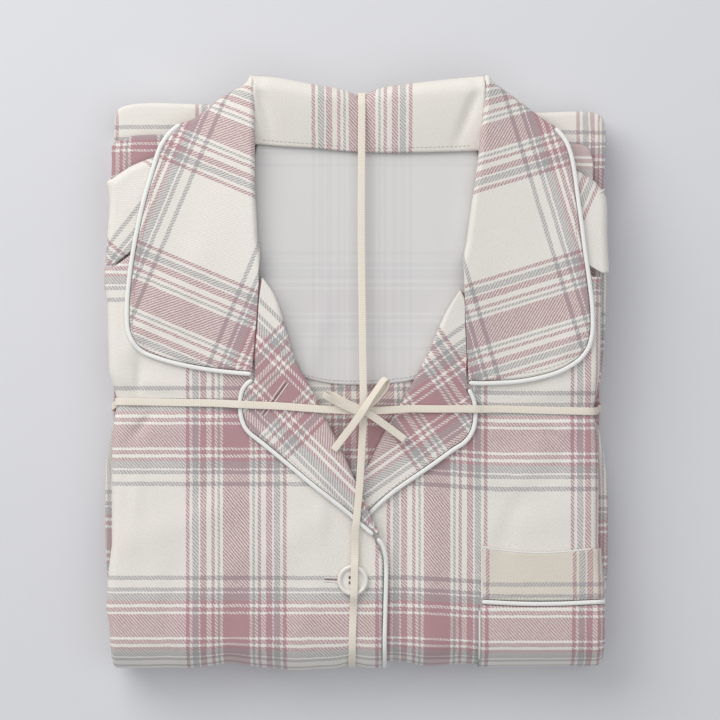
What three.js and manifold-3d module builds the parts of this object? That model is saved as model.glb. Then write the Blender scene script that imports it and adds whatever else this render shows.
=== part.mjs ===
// A folded pyjama set: a shirt with a notched collar, folded flat around its folded trousers
// and tied crosswise with a narrow cotton tape in a small bow.
// Millimetres. X runs across the shirt, Y towards the collar, Z up.
// The origin is the middle of the underside.
import * as THREE from "three";
import { mergeVertices } from "three/addons/utils/BufferGeometryUtils.js";
import Module from "manifold-3d";

const wasm = await Module();
wasm.setup();

// Driving dimensions
const STACK_HEIGHT = 38.5; // top of the shirt front at the sides
const CROWN = 2.4; // how much the middle of the stack stands higher
const HALF_WIDTH = 145;
const HALF_LENGTH = 170;
const ROLL_Y = -149; // where the fronts start to roll over the bottom edge
const ROLL_RADIUS = STACK_HEIGHT / 2;
const FRONT_WALL = 1.2;
const COLLAR_WALL = 1.6; // two plies with interlining
const LAPEL_WALL = 1.4;
const PLY_GAP = 0.4;
const SIDE_FOLD_TOP = 11; // depth of the shirt's side fold on top
const SIDE_FOLD_UNDER = 5.6; // and on the underside, where the stack's weight presses it
const SIDE_RETURN = 18; // how far the folded-under ply runs back
const OVERLAP_DIP = 3.8; // the right front sinks this much below the left front's edge
const DIP_START_X = 44;
const DIP_FULL_X = 19;
const HEM_Y = 136; // the shirt's hem on the underside
const PIPING_RADIUS = 1.25;
const PIPING_GAP = 0.4;
const PIPING_RISE = 0.5; // it rides up a little on the cloth under it
const ROLL_EDGE_RADIUS = 2.4; // lapel and collar where they turn over
const TENT_WIDTH = 46; // the lapel and collar slope down over this distance from their roll
const TAPE_WIDTH = 4.2;
const TAPE_THICKNESS = 0.55;
const TAPE_CHANNEL = 0.95; // depth of the channel that the tape presses into the underside
const TAPE_SQUEEZE_WIDTH = 11;
const SIDE_SQUEEZE = 2.6; // how much thinner the tape makes the side folds
const SIDE_TAPE_Y = -20;
const SHOULDER_DROP = 4.5;
const TROUSERS_BOTTOM = 6.6;
const TROUSERS_TOP = 26.2;
const TROUSERS_TOE = 10; // radius of their end inside the bottom roll
const SLEEVE_BOTTOM = 29.3;
const SLEEVE_TOP = 31.9;
const BACK_TOP = 33.3;
const BACK_WALL = 1;
const FACING_WALL = 0.9;
const SEAM_Z = 37.1; // top of the back collar at the neck seam
const FALL_Z = 29.2; // outer face of the back collar's fall, under the roll

const CLOTH = 0xe3d6cf;
const CLOTH_PINK = 0xc9a3a6;
const WHITE_CLOTH = 0xeeeeec;
const PIPING_WHITE = 0xf3f4f3;
const TAPE_CREAM = 0xe6dcc6;
const BUTTON_WHITE = 0xf0ede8;

// Small tools
const clamp = THREE.MathUtils.clamp;
const lerp = THREE.MathUtils.lerp;
const smooth = (from, to, value) => {
  const t = clamp((value - from) / (to - from), 0, 1);
  return t * t * (3 - 2 * t);
};
const bell = (distance, width) => Math.exp(-((distance / width) ** 2));
const steps = (from, to, count) =>
  Array.from({ length: count + 1 }, (_, i) => lerp(from, to, i / count));

// The value of one column of a table at a place in another column, in straight lines.
function lookUp(table, key, value, place) {
  const upward = table[0][key] < table[table.length - 1][key];
  const rows = upward ? table : [...table].reverse();
  if (place <= rows[0][key]) return rows[0][value];
  for (let i = 1; i < rows.length; i++) {
    if (place <= rows[i][key]) {
      const t = (place - rows[i - 1][key]) / (rows[i][key] - rows[i - 1][key]);
      return lerp(rows[i - 1][value], rows[i][value], t);
    }
  }
  return rows[rows.length - 1][value];
}

// A smooth curve through a table of x, y rows; at(t) goes by arc length.
function curve(table) {
  const points = table.map(({ x, y }) => new THREE.Vector3(x, y, 0));
  const spline = new THREE.CatmullRomCurve3(points, false, "centripetal");
  return {
    at: (t) => spline.getPointAt(clamp(t, 0, 1)),
    along: (t) => spline.getTangentAt(clamp(t, 0, 1)),
    length: spline.getLength(),
  };
}

// The same curve moved sideways by distance(t), to the left of its direction.
function moved(path, distance, samples = 28) {
  const table = steps(0, 1, samples).map((t) => {
    const p = path.at(t);
    const d = path.along(t);
    return { x: p.x - d.y * distance(t), y: p.y + d.x * distance(t) };
  });
  return curve(table);
}

// Part of a curve, from one share of its length to another.
const part = (path, from, to) => ({
  at: (t) => path.at(lerp(from, to, t)),
  along: (t) => path.along(lerp(from, to, t)),
});

// A four-sided patch between two side curves and two end curves (Coons).
// u goes from the inner to the outer curve, v from the first to the last curve.
function patch(inner, outer, first, last) {
  const [a, b, c, d] = [inner.at(0), outer.at(0), inner.at(1), outer.at(1)];
  return (u, v) => {
    const p = new THREE.Vector3();
    p.addScaledVector(inner.at(v), 1 - u).addScaledVector(outer.at(v), u);
    p.addScaledVector(first.at(u), 1 - v).addScaledVector(last.at(u), v);
    p.addScaledVector(a, -(1 - u) * (1 - v)).addScaledVector(b, -u * (1 - v));
    p.addScaledVector(c, -(1 - u) * v).addScaledVector(d, -u * v);
    return p;
  };
}

const line = (from, to) => ({
  at: (t) => new THREE.Vector3().lerpVectors(from, to, t),
  along: () => new THREE.Vector3().subVectors(to, from).normalize(),
});

// Rows of a piece that lies on the stack: a patch seen from above, each point at height(x, y).
// beside and before are turned edges beyond the inner and the first curve: lists of steps, each
// with how far it lies outside the patch and how far below, as functions of the way along the edge.
// heading(u, outward) can turn the direction in which the first curve's edge lies outside.
function laidRows({ inner, outer, first, last, us, vs, height, beside = [], before = [], heading }) {
  const flat = patch(inner, outer, first, last);
  const middle = flat(0.5, 0.5);
  const leftOf = (path, t) => new THREE.Vector3(-path.along(t).y, path.along(t).x, 0);
  const side = (path) => Math.sign(leftOf(path, 0.5).dot(path.at(0.5).sub(middle)));
  const sides = new Map([inner, first].map((path) => [path, side(path)]));
  const outward = (path, t) => leftOf(path, t).multiplyScalar(sides.get(path));
  const ahead = (u) => (heading ? heading(u, outward(first, u)) : outward(first, u));
  const none = { away: () => 0, drop: () => 0 };
  const rows = [...before.map((turn) => ({ v: 0, turn })), ...vs.map((v) => ({ v, turn: none }))];
  const columns = [...beside.map((turn) => ({ u: 0, turn })), ...us.map((u) => ({ u, turn: none }))];
  return rows.map((row) =>
    columns.map((column) => {
      const { u } = column;
      const { v } = row;
      const p = flat(u, v);
      const z = height(p.x, p.y, u, v);
      p.addScaledVector(outward(inner, v), column.turn.away(v, z));
      p.addScaledVector(ahead(u), row.turn.away(u, z));
      p.z = z - Math.max(column.turn.drop(v, z), row.turn.drop(u, z));
      return p;
    }),
  );
}

// Steps of a turned edge, furthest first: a round of radius(t) by some degrees, then, where
// below(t, z) is given, a skirt that deep in all, or a ply that runs back by each of the runs.
function turnedEdge(radius, degrees, { below, runs = [] } = {}) {
  const turn = degrees.map(THREE.MathUtils.degToRad).map((angle) => ({
    away: (t) => radius(t) * Math.sin(angle),
    drop: (t) => radius(t) * (1 - Math.cos(angle)),
  }));
  if (below) turn.push({ away: radius, drop: below });
  runs.forEach((run) => turn.push({ away: (t) => -run(t), drop: (t) => 2 * radius(t) }));
  return turn.reverse();
}

// The middle line of a piping along the rim of a wall: the rim's points moved out from it.
function pipingLine(rim, thickness, inside) {
  const normals = rim.map((p, i) => {
    const along = rim[Math.min(i + 1, rim.length - 1)].clone().sub(rim[Math.max(i - 1, 0)]);
    return new THREE.Vector3(-along.y, along.x, 0).normalize();
  });
  const half = rim.length >> 1;
  const inward = normals[half].dot(inside.clone().sub(rim[half]).setZ(0)) > 0;
  const out = (PIPING_RADIUS + PIPING_GAP) * (inward ? -1 : 1);
  return rim.map((p, i) =>
    p.clone().addScaledVector(normals[i], out).setZ(p.z - thickness / 2 + PIPING_RISE),
  );
}

// A closed cloth wall: the rows are its outer face, and the inner face lies one thickness below.
// The probe is a cell where the outer face looks up.
function wall(rows, thickness, probe) {
  const last = [rows.length - 1, rows[0].length - 1];
  const at = (i, j) => rows[clamp(i, 0, last[0])][clamp(j, 0, last[1])];
  const normal = (i, j) => {
    const down = at(i + 1, j).clone().sub(at(i - 1, j));
    const across = at(i, j + 1).clone().sub(at(i, j - 1));
    return down.cross(across).normalize();
  };
  const place = probe ?? [last[0] >> 1, last[1] >> 1];
  const turn = Math.sign(normal(...place).z);
  const outer = [];
  const inner = [];
  rows.forEach((row, i) =>
    row.forEach((p, j) => {
      outer.push(p.x, p.y, p.z);
      const q = p.clone().addScaledVector(normal(i, j), -turn * thickness);
      inner.push(q.x, q.y, q.z);
    }),
  );
  const width = last[1] + 1;
  const shift = outer.length / 3;
  const faces = [];
  const quad = (a, b, c, d) =>
    turn > 0 ? faces.push(a, b, c, a, c, d) : faces.push(a, c, b, a, d, c);
  for (let i = 0; i < last[0]; i++) {
    for (let j = 0; j < last[1]; j++) {
      const k = i * width + j;
      quad(k, k + width, k + width + 1, k + 1);
      quad(k + shift, k + shift + 1, k + shift + width + 1, k + shift + width);
    }
  }
  for (let i = 0; i < last[0]; i++) {
    const near = i * width;
    const far = near + last[1];
    quad(near, near + shift, near + shift + width, near + width);
    quad(far, far + width, far + width + shift, far + shift);
  }
  for (let j = 0; j < last[1]; j++) {
    const far = last[0] * width + j;
    quad(j, j + 1, j + 1 + shift, j + shift);
    quad(far, far + shift, far + shift + 1, far + 1);
  }
  return closed([...outer, ...inner], faces);
}

function closed(positions, faces) {
  const geometry = new THREE.BufferGeometry();
  geometry.setAttribute("position", new THREE.Float32BufferAttribute(positions, 3));
  geometry.setIndex(faces);
  geometry.computeVertexNormals();
  return geometry;
}

// A solid of stacked rings: each ring is a list of points, and both ends are closed by a fan.
function ringStack(rings) {
  const count = rings[0].length;
  const positions = rings.flat().flatMap((p) => [p.x, p.y, p.z]);
  const faces = [];
  for (let k = 0; k < rings.length - 1; k++) {
    for (let i = 0; i < count; i++) {
      const a = k * count + i;
      const b = k * count + ((i + 1) % count);
      faces.push(a, b, b + count, a, b + count, a + count);
    }
  }
  [rings[0], rings[rings.length - 1]].forEach((ring, end) => {
    const middle = positions.length / 3;
    const sum = ring.reduce((s, p) => s.add(p), new THREE.Vector3());
    positions.push(...sum.divideScalar(count).toArray());
    const base = end * (rings.length - 1) * count;
    for (let i = 0; i < count; i++) {
      const [a, b] = [base + i, base + ((i + 1) % count)];
      faces.push(...(end ? [a, b, middle] : [b, a, middle]));
    }
  });
  return closed(positions, faces);
}

// A round tube through points, closed at both ends.
function tube(points, radius, count) {
  const shape = new THREE.Shape();
  const sides = 5;
  for (let i = 0; i <= sides; i++) {
    const angle = (i / sides) * 2 * Math.PI;
    const [x, y] = [radius * Math.cos(angle), radius * Math.sin(angle)];
    if (i === 0) shape.moveTo(x, y);
    else shape.lineTo(x, y);
  }
  const extrudePath = new THREE.CatmullRomCurve3(points, false, "centripetal");
  const geometry = new THREE.ExtrudeGeometry(shape, { steps: count, extrudePath, curveSegments: 1 });
  return joined(geometry);
}

function joined(geometry) {
  geometry.deleteAttribute("normal");
  geometry.deleteAttribute("uv");
  return mergeVertices(geometry, 1e-4);
}

// A flat tape through points; its width lies along a direction, or along each point's own.
function ribbon(points, side) {
  const corners = [
    [-0.5, -0.5],
    [0.5, -0.5],
    [0.5, 0.5],
    [-0.5, 0.5],
  ];
  const rings = points.map((p, i) => {
    const ahead = points[Math.min(i + 1, points.length - 1)].clone().sub(points[Math.max(i - 1, 0)]);
    ahead.normalize();
    const across = (Array.isArray(side) ? side[i] : side).clone();
    across.addScaledVector(ahead, -across.dot(ahead)).normalize();
    const up = new THREE.Vector3().crossVectors(ahead, across);
    return corners.map(([a, b]) =>
      p.clone().addScaledVector(across, a * TAPE_WIDTH).addScaledVector(up, b * TAPE_THICKNESS),
    );
  });
  return ringStack(rings);
}

const group = new THREE.Group();

function add(name, geometry, color, roughness = 0.9) {
  const side = THREE.DoubleSide;
  const material = new THREE.MeshStandardMaterial({ color, roughness, metalness: 0, side });
  const mesh = new THREE.Mesh(geometry, material);
  mesh.name = name;
  group.add(mesh);
  return mesh;
}

// The tape's two runs over the top, seen from above
const TAPE_ACROSS = [
  { x: -136, y: -16.5 },
  { x: -80, y: -17.5 },
  { x: -45, y: -19 },
  { x: -19, y: -20.8 },
  { x: 4, y: -22 },
  { x: 30, y: -20.6 },
  { x: 80, y: -20.8 },
  { x: 137, y: -22.5 },
];
const TAPE_DOWN = [
  { y: 155, x: 3 },
  { y: 74, x: 2.8 },
  { y: -22, x: 4 },
  { y: -61, x: 2 },
  { y: -89, x: -0.6 },
  { y: -117, x: -1.2 },
  { y: -168, x: -3.1 },
];

// How much the stack stands higher in its middle
const crown = (x, y) => CROWN * (1 - (x / HALF_WIDTH) ** 2) * (1 - (y / HALF_LENGTH) ** 2);
// and how much the tape squeezes the shirt across, most at the sides
const squeeze = (x, y) => {
  const near = bell(y - lookUp(TAPE_ACROSS, "x", "y", x), TAPE_SQUEEZE_WIDTH);
  return (0.5 + 2.5 * Math.abs(x / HALF_WIDTH) ** 3) * near;
};
function lift(x, y) {
  const down = 0.7 * bell(x - lookUp(TAPE_DOWN, "y", "x", y), TAPE_SQUEEZE_WIDTH);
  const crease = 1.2 * bell(x + 122, 7) * bell(y + 2, 26);
  return crown(x, y) - squeeze(x, y) - down - crease;
}
const frontTop = (x, y) => STACK_HEIGHT + lift(x, y);
const overlapDip = (x) => OVERLAP_DIP * smooth(DIP_START_X, DIP_FULL_X, x);

// The roll line of each side: the collar's inner edge, then the lapel's roll edge
const ROLL_LEFT = [
  { x: -57.1, y: 166.5 },
  { x: -57.1, y: 125 },
  { x: -56.8, y: 100 },
  { x: -55.6, y: 79 },
  { x: -54.4, y: 62 },
  { x: -52.6, y: 53 },
  { x: -45.8, y: 43 },
  { x: -40.2, y: 27 },
  { x: -34.6, y: 8 },
  { x: -23.9, y: -12 },
  { x: -16.3, y: -28 },
  { x: -6.5, y: -48 },
  { x: 2.5, y: -68.5 },
  { x: 9.5, y: -83 },
  { x: 14.1, y: -95.5 },
];
const ROLL_RIGHT = [
  { x: 71.7, y: 166 },
  { x: 71, y: 146 },
  { x: 69.2, y: 128 },
  { x: 66.5, y: 108 },
  { x: 62.9, y: 82 },
  { x: 60.3, y: 62 },
  { x: 58, y: 46 },
  { x: 50.5, y: 34 },
  { x: 44, y: 20 },
  { x: 38, y: 6.5 },
  { x: 29, y: -10.5 },
  { x: 20.3, y: -25.5 },
  { x: 12.8, y: -39.5 },
  { x: 5, y: -55 },
  { x: -2, y: -67.5 },
];
const TENT_HEIGHTS = [
  { share: 0, left: 7, right: 7 },
  { share: 0.3, left: 6, right: 6 },
  { share: 0.55, left: 4.6, right: 4.6 },
  { share: 0.75, left: 3.4, right: 3.2 },
  { share: 0.9, left: 1.8, right: 0.8 },
  { share: 1, left: 0.6, right: 0.3 },
];
const rollLine = { left: curve(ROLL_LEFT), right: curve(ROLL_RIGHT) };
const rollSamples = Object.fromEntries(
  Object.entries(rollLine).map(([side, path]) => [side, steps(0, 1, 60).map((t) => path.at(t))]),
);

// How much the collar and lapel stand above the front: most at their roll, none TENT_WIDTH away
function tent(side, x, y) {
  const samples = rollSamples[side];
  let nearest = { distance: Infinity, share: 0 };
  samples.forEach((p, i) => {
    const distance = Math.hypot(p.x - x, p.y - y);
    if (distance < nearest.distance) nearest = { distance, share: i / (samples.length - 1) };
  });
  const height = lookUp(TENT_HEIGHTS, "share", side, nearest.share);
  return height * (1 - clamp(nearest.distance / TENT_WIDTH, 0, 1)) ** 1.5;
}

// Trousers: folded flat, four thick layers, their end rounded inside the shirt's bottom roll
const TROUSERS_OUTLINE = [
  { x: -138, y: 104 },
  { x: -138, y: 138 },
  { x: -136.4, y: 149 },
  { x: -128, y: 152.4 },
  { x: -84, y: 152.3 },
  { x: -20, y: 150 },
  { x: 50, y: 147.5 },
  { x: 100, y: 147.6 },
  { x: 136, y: 147.4 },
  { x: 140.6, y: 144 },
  { x: 141, y: 100 },
  { x: 142.6, y: 60 },
  { x: 142, y: 30 },
  { x: 138.4, y: -8 },
  { x: 134.6, y: -21.5 },
  { x: 138.4, y: -34 },
  { x: 142.6, y: -60 },
  { x: 143, y: -98 },
  { x: 142.6, y: -118 },
  { x: 140.4, y: -138 },
  { x: 136, y: -152 },
  { x: 122, y: -159 },
  { x: 0, y: -159 },
  { x: -122, y: -159 },
  { x: -136, y: -152 },
  { x: -140.4, y: -138 },
  { x: -142.4, y: -112 },
  { x: -142.4, y: -48 },
  { x: -138.6, y: -30 },
  { x: -134.4, y: -17 },
  { x: -137.6, y: -4 },
  { x: -139.6, y: 30 },
];
const LAYER_PROFILE = [
  { share: 0, inset: 5 },
  { share: 0.07, inset: 0.6 },
  { share: 0.2, inset: 0.6 },
  { share: 0.25, inset: 3 },
  { share: 0.31, inset: 0.4 },
  { share: 0.44, inset: 0.4 },
  { share: 0.5, inset: 2.8 },
  { share: 0.56, inset: 0.5 },
  { share: 0.69, inset: 0.5 },
  { share: 0.75, inset: 3.2 },
  { share: 0.81, inset: 0.1 },
  { share: 0.95, inset: 0.4 },
  { share: 1, inset: 4 },
];
function foldedTrousers() {
  const points = TROUSERS_OUTLINE.map(({ x, y }) => new THREE.Vector3(x, y, 0));
  const outline = new THREE.CatmullRomCurve3(points, true, "centripetal");
  const around = steps(0, 1, 56).slice(0, -1).map((t) => outline.getPointAt(t));
  const ring = (z, inset, shrink) =>
    around.map((p) => {
      const [x, y] = [p.x * (1 - inset / HALF_WIDTH) * shrink, p.y * (1 - inset / HALF_LENGTH) * shrink];
      const height = z - (TROUSERS_BOTTOM + TROUSERS_TOP) / 2;
      const toe = TROUSERS_TOE - Math.sqrt(Math.max(TROUSERS_TOE ** 2 - height ** 2, 0));
      const low = smooth(-120, -156, p.y) * toe;
      const top = smooth(0.6, 1, (z - TROUSERS_BOTTOM) / (TROUSERS_TOP - TROUSERS_BOTTOM));
      return new THREE.Vector3(x, y + low, z + top * crown(x, y));
    });
  const rings = LAYER_PROFILE.map(({ share, inset }) =>
    ring(lerp(TROUSERS_BOTTOM, TROUSERS_TOP, share), inset, 1),
  );
  rings.push(ring(TROUSERS_TOP, 4, 0.5));
  rings.forEach((r) => r.reverse());
  return ringStack(rings);
}

// Sleeves: each folded flat between the trousers and the shirt, a soft slab of two plies
const SLEEVE_LEFT = [
  { x: -138.4, y: 66 },
  { x: -138.4, y: 118 },
  { x: -137.6, y: 129.5 },
  { x: -131, y: 131.6 },
  { x: -128, y: 133.3 },
  { x: -70, y: 133.6 },
  { x: -14, y: 132 },
  { x: -8, y: 120 },
  { x: -10, y: 0 },
  { x: -12, y: -120 },
  { x: -20, y: -134 },
  { x: -90, y: -136 },
  { x: -109, y: -131 },
  { x: -117, y: -110 },
  { x: -126, y: -60 },
  { x: -126, y: 0 },
  { x: -128, y: 50 },
];
const SLEEVE_RIGHT = [
  { x: 133.2, y: 66 },
  { x: 133.2, y: 100 },
  { x: 133.6, y: 120 },
  { x: 130, y: 127.6 },
  { x: 119, y: 128.8 },
  { x: 60, y: 128.2 },
  { x: 2, y: 128.4 },
  { x: -3, y: 118 },
  { x: -4, y: 0 },
  { x: -4, y: -120 },
  { x: 4, y: -134 },
  { x: 90, y: -136 },
  { x: 108, y: -131 },
  { x: 117, y: -110 },
  { x: 121, y: 0 },
  { x: 124, y: 50 },
];
function foldedSleeve(table) {
  const points = table.map(({ x, y }) => new THREE.Vector3(x, y, 0));
  const outline = new THREE.CatmullRomCurve3(points, true, "centripetal");
  const around = steps(0, 1, 38).slice(0, -1).map((t) => outline.getPointAt(t));
  const middle = around.reduce((s, p) => s.add(p), new THREE.Vector3()).divideScalar(around.length);
  const ring = (share, scale) =>
    around.map((p) => {
      const x = lerp(middle.x, p.x, scale);
      const y = lerp(middle.y, p.y, scale);
      return new THREE.Vector3(x, y, lerp(SLEEVE_BOTTOM, SLEEVE_TOP, share) + crown(x, y));
    });
  const rings = [ring(0, 0.5), ring(0, 0.985), ring(0.5, 1), ring(1, 0.985), ring(1, 0.5)];
  if (THREE.ShapeUtils.isClockWise(around)) rings.forEach((r) => r.reverse());
  return ringStack(rings);
}

// Fronts: a wall from the shoulder seam over the top, round the bottom edge and along the underside.
// Across, it ends in a side fold: a half-round turn and a ply that runs back under.
const FRONT_LEFT = {
  outerY: 59,
  seam: [
    { x: -62, y: 113.6 },
    { x: -90, y: 93 },
    { x: -126.3, y: 66.5 },
  ],
  inner: [
    { x: -62, y: 113.6 },
    { x: -61, y: 80 },
    { x: -59.4, y: 53 },
    { x: -50.5, y: 39 },
    { x: -45, y: 24 },
    { x: -39.5, y: 5 },
    { x: -28.5, y: -14 },
    { x: -21, y: -30 },
    { x: -11, y: -50 },
    { x: -2.2, y: -69 },
    { x: 5.5, y: -85 },
    { x: 11.5, y: -97 },
    { x: 14.7, y: -106 },
    { x: 15, y: -116 },
    { x: 14.6, y: -132 },
    { x: 14.2, y: ROLL_Y },
  ],
  edge: [
    { y: 70, x: -142 },
    { y: 47, x: -142.3 },
    { y: 39, x: -140.6 },
    { y: 0, x: -139.6 },
    { y: -12, x: -136.2 },
    { y: -17, x: -134.8 },
    { y: -24, x: -136.4 },
    { y: -36, x: -138 },
    { y: -97, x: -138 },
    { y: -112, x: -140 },
    { y: -134, x: -141.4 },
    { y: -142, x: -139.4 },
    { y: -170, x: -138.4 },
  ],
  underEdge: -137,
  dips: false,
};
const FRONT_RIGHT = {
  outerY: 53.5,
  seam: [
    { x: 72, y: 108.6 },
    { x: 95, y: 86 },
    { x: 125, y: 61.8 },
  ],
  inner: [
    { x: 72, y: 108.6 },
    { x: 67.4, y: 80 },
    { x: 65, y: 46 },
    { x: 55.5, y: 31.5 },
    { x: 43.2, y: 4.5 },
    { x: 34, y: -12.5 },
    { x: 25.4, y: -28 },
    { x: 17.8, y: -42 },
    { x: 10.5, y: -55 },
    { x: 3, y: -67 },
    { x: -5, y: -80 },
    { x: -11.5, y: -94 },
    { x: -14, y: -108 },
    { x: -14.2, y: -125 },
    { x: -14.4, y: ROLL_Y },
  ],
  edge: [
    { y: 60, x: 138.6 },
    { y: 2, x: 137.6 },
    { y: -16, x: 134.8 },
    { y: -22, x: 133.6 },
    { y: -30, x: 134.8 },
    { y: -42, x: 136.6 },
    { y: -96, x: 136.4 },
    { y: -118, x: 138.4 },
    { y: -170, x: 139.2 },
  ],
  underEdge: 137,
  dips: true,
};
const ROLL_WAVES = [
  { x: -138, reach: 0.4 },
  { x: -95, reach: 0.2 },
  { x: -72, reach: -2.2 },
  { x: -40, reach: 1 },
  { x: -12, reach: 0.4 },
  { x: -3, reach: -1.6 },
  { x: 7, reach: 0.4 },
  { x: 40, reach: -1.2 },
  { x: 56, reach: -1.8 },
  { x: 80, reach: -2.2 },
  { x: 139, reach: -2.4 },
];

// A place of the front's outer face: a share of its way from the shoulder to the hem, an angle
// round the bottom roll, and a depth below the face.
function depthOfSideFold(y, angle) {
  const down = smooth(-100, ROLL_Y, y) * 0.5 + Math.min(angle / (Math.PI / 2), 1) * 0.5;
  const pressed = angle > 0 ? 0 : SIDE_SQUEEZE * bell(y - SIDE_TAPE_Y, TAPE_SQUEEZE_WIDTH);
  return lerp(SIDE_FOLD_TOP, SIDE_FOLD_UNDER, clamp(down, 0, 1)) - pressed;
}

function channel(x, y) {
  const across = Math.abs(y - UNDER_TAPE_Y) < TAPE_WIDTH ? 1 : 0;
  const down = Math.abs(x - UNDER_TAPE_X) < TAPE_WIDTH ? 1 : 0;
  return TAPE_CHANNEL * (across + down * (across ? 0.7 : 1));
}
const UNDER_TAPE_Y = -20.5;
const UNDER_TAPE_X = -2.5;
const UNDER_ROWS = [-146, -90, -30, -26.5, -24, -17, -14.5, 60, HEM_Y];
const LEFT_UNDER_COLUMNS = [14.2, 4.6, 1.2, -6.2, -9.6, -36, -64, -90, -116];
const RIGHT_UNDER_COLUMNS = [-14.4, 4, 19, 27, 35.5, 46, 70, 94, 116];

// The face of a front as rows from shoulder to hem; raised lifts a pocket's rows off the front.
function frontRows(front, { rows, angles, under, columns, curl, back, raised = 0 }) {
  const sign = Math.sign(front.underEdge);
  const inner = curve(front.inner);
  const outer = {
    at: (v) => {
      const y = lerp(front.outerY, ROLL_Y, v);
      const x = lookUp(front.edge, "y", "x", y) - sign * (depthOfSideFold(y, 0) / 2);
      return new THREE.Vector3(x, y, 0);
    },
  };
  const last = line(inner.at(1), outer.at(1));
  const seam = curve([...front.seam, outer.at(0)]);
  const top = patch(inner, outer, seam, last);
  const underX = (u) => lerp(front.inner[front.inner.length - 1].x, front.underEdge, u);
  const point = (base, away, angle, sink, y) => {
    const bump = (frontTop(base.x, Math.max(y, ROLL_Y)) - STACK_HEIGHT) * Math.cos(angle / 2) ** 2;
    const dip = front.dips ? overlapDip(base.x) : 0;
    const radius = ROLL_RADIUS + bump - dip - sink + raised;
    if (angle === 0) {
      return new THREE.Vector3(base.x + away, base.y, ROLL_RADIUS + radius);
    }
    const reach = lookUp(ROLL_WAVES, "x", "reach", base.x);
    const z = ROLL_RADIUS + radius * Math.cos(angle);
    return new THREE.Vector3(base.x + away, ROLL_Y - (radius + reach) * Math.sin(angle), z);
  };
  const fan = (base, angle, y) => {
    const half = depthOfSideFold(y, angle) / 2;
    const turned = curl.map((phi) => ({
      away: sign * half * Math.sin(phi),
      sink: half * (1 - Math.cos(phi)),
    }));
    return [...turned, ...back.map((run) => ({ away: -sign * run, sink: 2 * half }))].map(
      ({ away, sink }) => point(base, away, angle, sink, y),
    );
  };
  const grid = rows.map((v) => {
    const row = columns.map((u) => top(u, v));
    const placed = row.map((p) => point(p, 0, 0, 0, p.y));
    const edge = row[row.length - 1];
    return [...placed, ...fan(edge, 0, edge.y)];
  });
  angles.forEach((angle) => {
    const row = columns.map((u) => top(u, 1));
    const blend = angle / Math.PI;
    row.forEach((p, j) => (p.x = lerp(p.x, underX(columns[j]), blend ** 2)));
    const edge = row[row.length - 1];
    grid.push([...row.map((p) => point(p, 0, angle, 0, ROLL_Y)), ...fan(edge, angle, ROLL_Y)]);
  });
  under.forEach((y) => {
    const row = columns.map((u) => new THREE.Vector3(underX(u), y, 0));
    const edge = row[row.length - 1];
    const flat = (p, away, sink) => {
      const dip = front.dips ? overlapDip(p.x) : 0;
      const x = p.x + away;
      return new THREE.Vector3(x, y, sink + dip + (front.dips && dip > 0 ? 0 : channel(x, y)));
    };
    const half = SIDE_FOLD_UNDER / 2;
    grid.push([
      ...row.map((p) => flat(p, 0, 0)),
      ...curl.map((phi) => flat(edge, sign * half * Math.sin(phi), half * (1 - Math.cos(phi)))),
      ...back.map((run) => flat(edge, -sign * run, 2 * half)),
    ]);
  });
  return grid;
}

const shareOf = (front, x) => {
  const start = front.inner[front.inner.length - 1].x;
  return (x - start) / (front.underEdge - start);
};
const CURL = [38, 76, 120, 180].map(THREE.MathUtils.degToRad);
const ROLL_ANGLES = [26, 52, 78, 104, 130, 156].map(THREE.MathUtils.degToRad);

function frontPanel(front, underColumns) {
  const columns = [...underColumns.map((x) => shareOf(front, x)), 1];
  const rows = [...steps(0, 0.28, 4), 0.325, 0.355, 0.385, 0.42, 0.47, ...steps(0.56, 1, 4)];
  const back = [SIDE_RETURN / 2, SIDE_RETURN];
  const grid = frontRows(front, { rows, angles: ROLL_ANGLES, under: UNDER_ROWS, columns, curl: CURL, back });
  return grid;
}

add("trousers", foldedTrousers(), CLOTH);
add("sleeve_left", foldedSleeve(SLEEVE_LEFT), CLOTH_PINK);
add("sleeve_right", foldedSleeve(SLEEVE_RIGHT), CLOTH_PINK);
const leftRows = frontPanel(FRONT_LEFT, LEFT_UNDER_COLUMNS);
const rightRows = frontPanel(FRONT_RIGHT, RIGHT_UNDER_COLUMNS);
add("front_left", wall(leftRows, FRONT_WALL, [4, 4]), CLOTH);
add("front_right", wall(rightRows, FRONT_WALL, [4, 4]), CLOTH);

// Back: its inside shows in the neck opening, with the white facing on it
const NECK_SEAM = [
  { x: -56.2, y: 128.3 },
  { x: -39.7, y: 126.8 },
  { x: -26, y: 126 },
  { x: 1, y: 123.8 },
  { x: 20.5, y: 123.4 },
  { x: 46, y: 123.8 },
  { x: 68.4, y: 124.6 },
];
const BACK_LEFT = [
  { x: -60, y: 112 },
  { x: -60, y: 40 },
  { x: -46, y: 5 },
  { x: -30, y: -25 },
  { x: -14, y: -46 },
  { x: -5, y: -59 },
];
const BACK_RIGHT = [
  { x: 70, y: 112 },
  { x: 68, y: 40 },
  { x: 52, y: 5 },
  { x: 33, y: -22 },
  { x: 15, y: -45 },
  { x: 6, y: -59 },
];
const FACING_LEFT = [
  { x: -56, y: 125.5 },
  { x: -60, y: 112 },
  { x: -61, y: 70 },
  { x: -57, y: 30 },
  { x: -45, y: 8 },
  { x: -34, y: -0.5 },
];
const FACING_RIGHT = [
  { x: 68, y: 122.5 },
  { x: 71, y: 112 },
  { x: 68, y: 70 },
  { x: 63, y: 42 },
  { x: 50, y: 16 },
  { x: 38, y: -1.5 },
];
const FACING_HEM = [
  { x: -34, y: -0.5 },
  { x: -27.8, y: -3.4 },
  { x: -14, y: -6.6 },
  { x: 2.5, y: -7.3 },
  { x: 20, y: -6.4 },
  { x: 31.8, y: -4.5 },
  { x: 38, y: -1.5 },
];
const backTop = (x, y) => BACK_TOP + crown(x, y);
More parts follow.
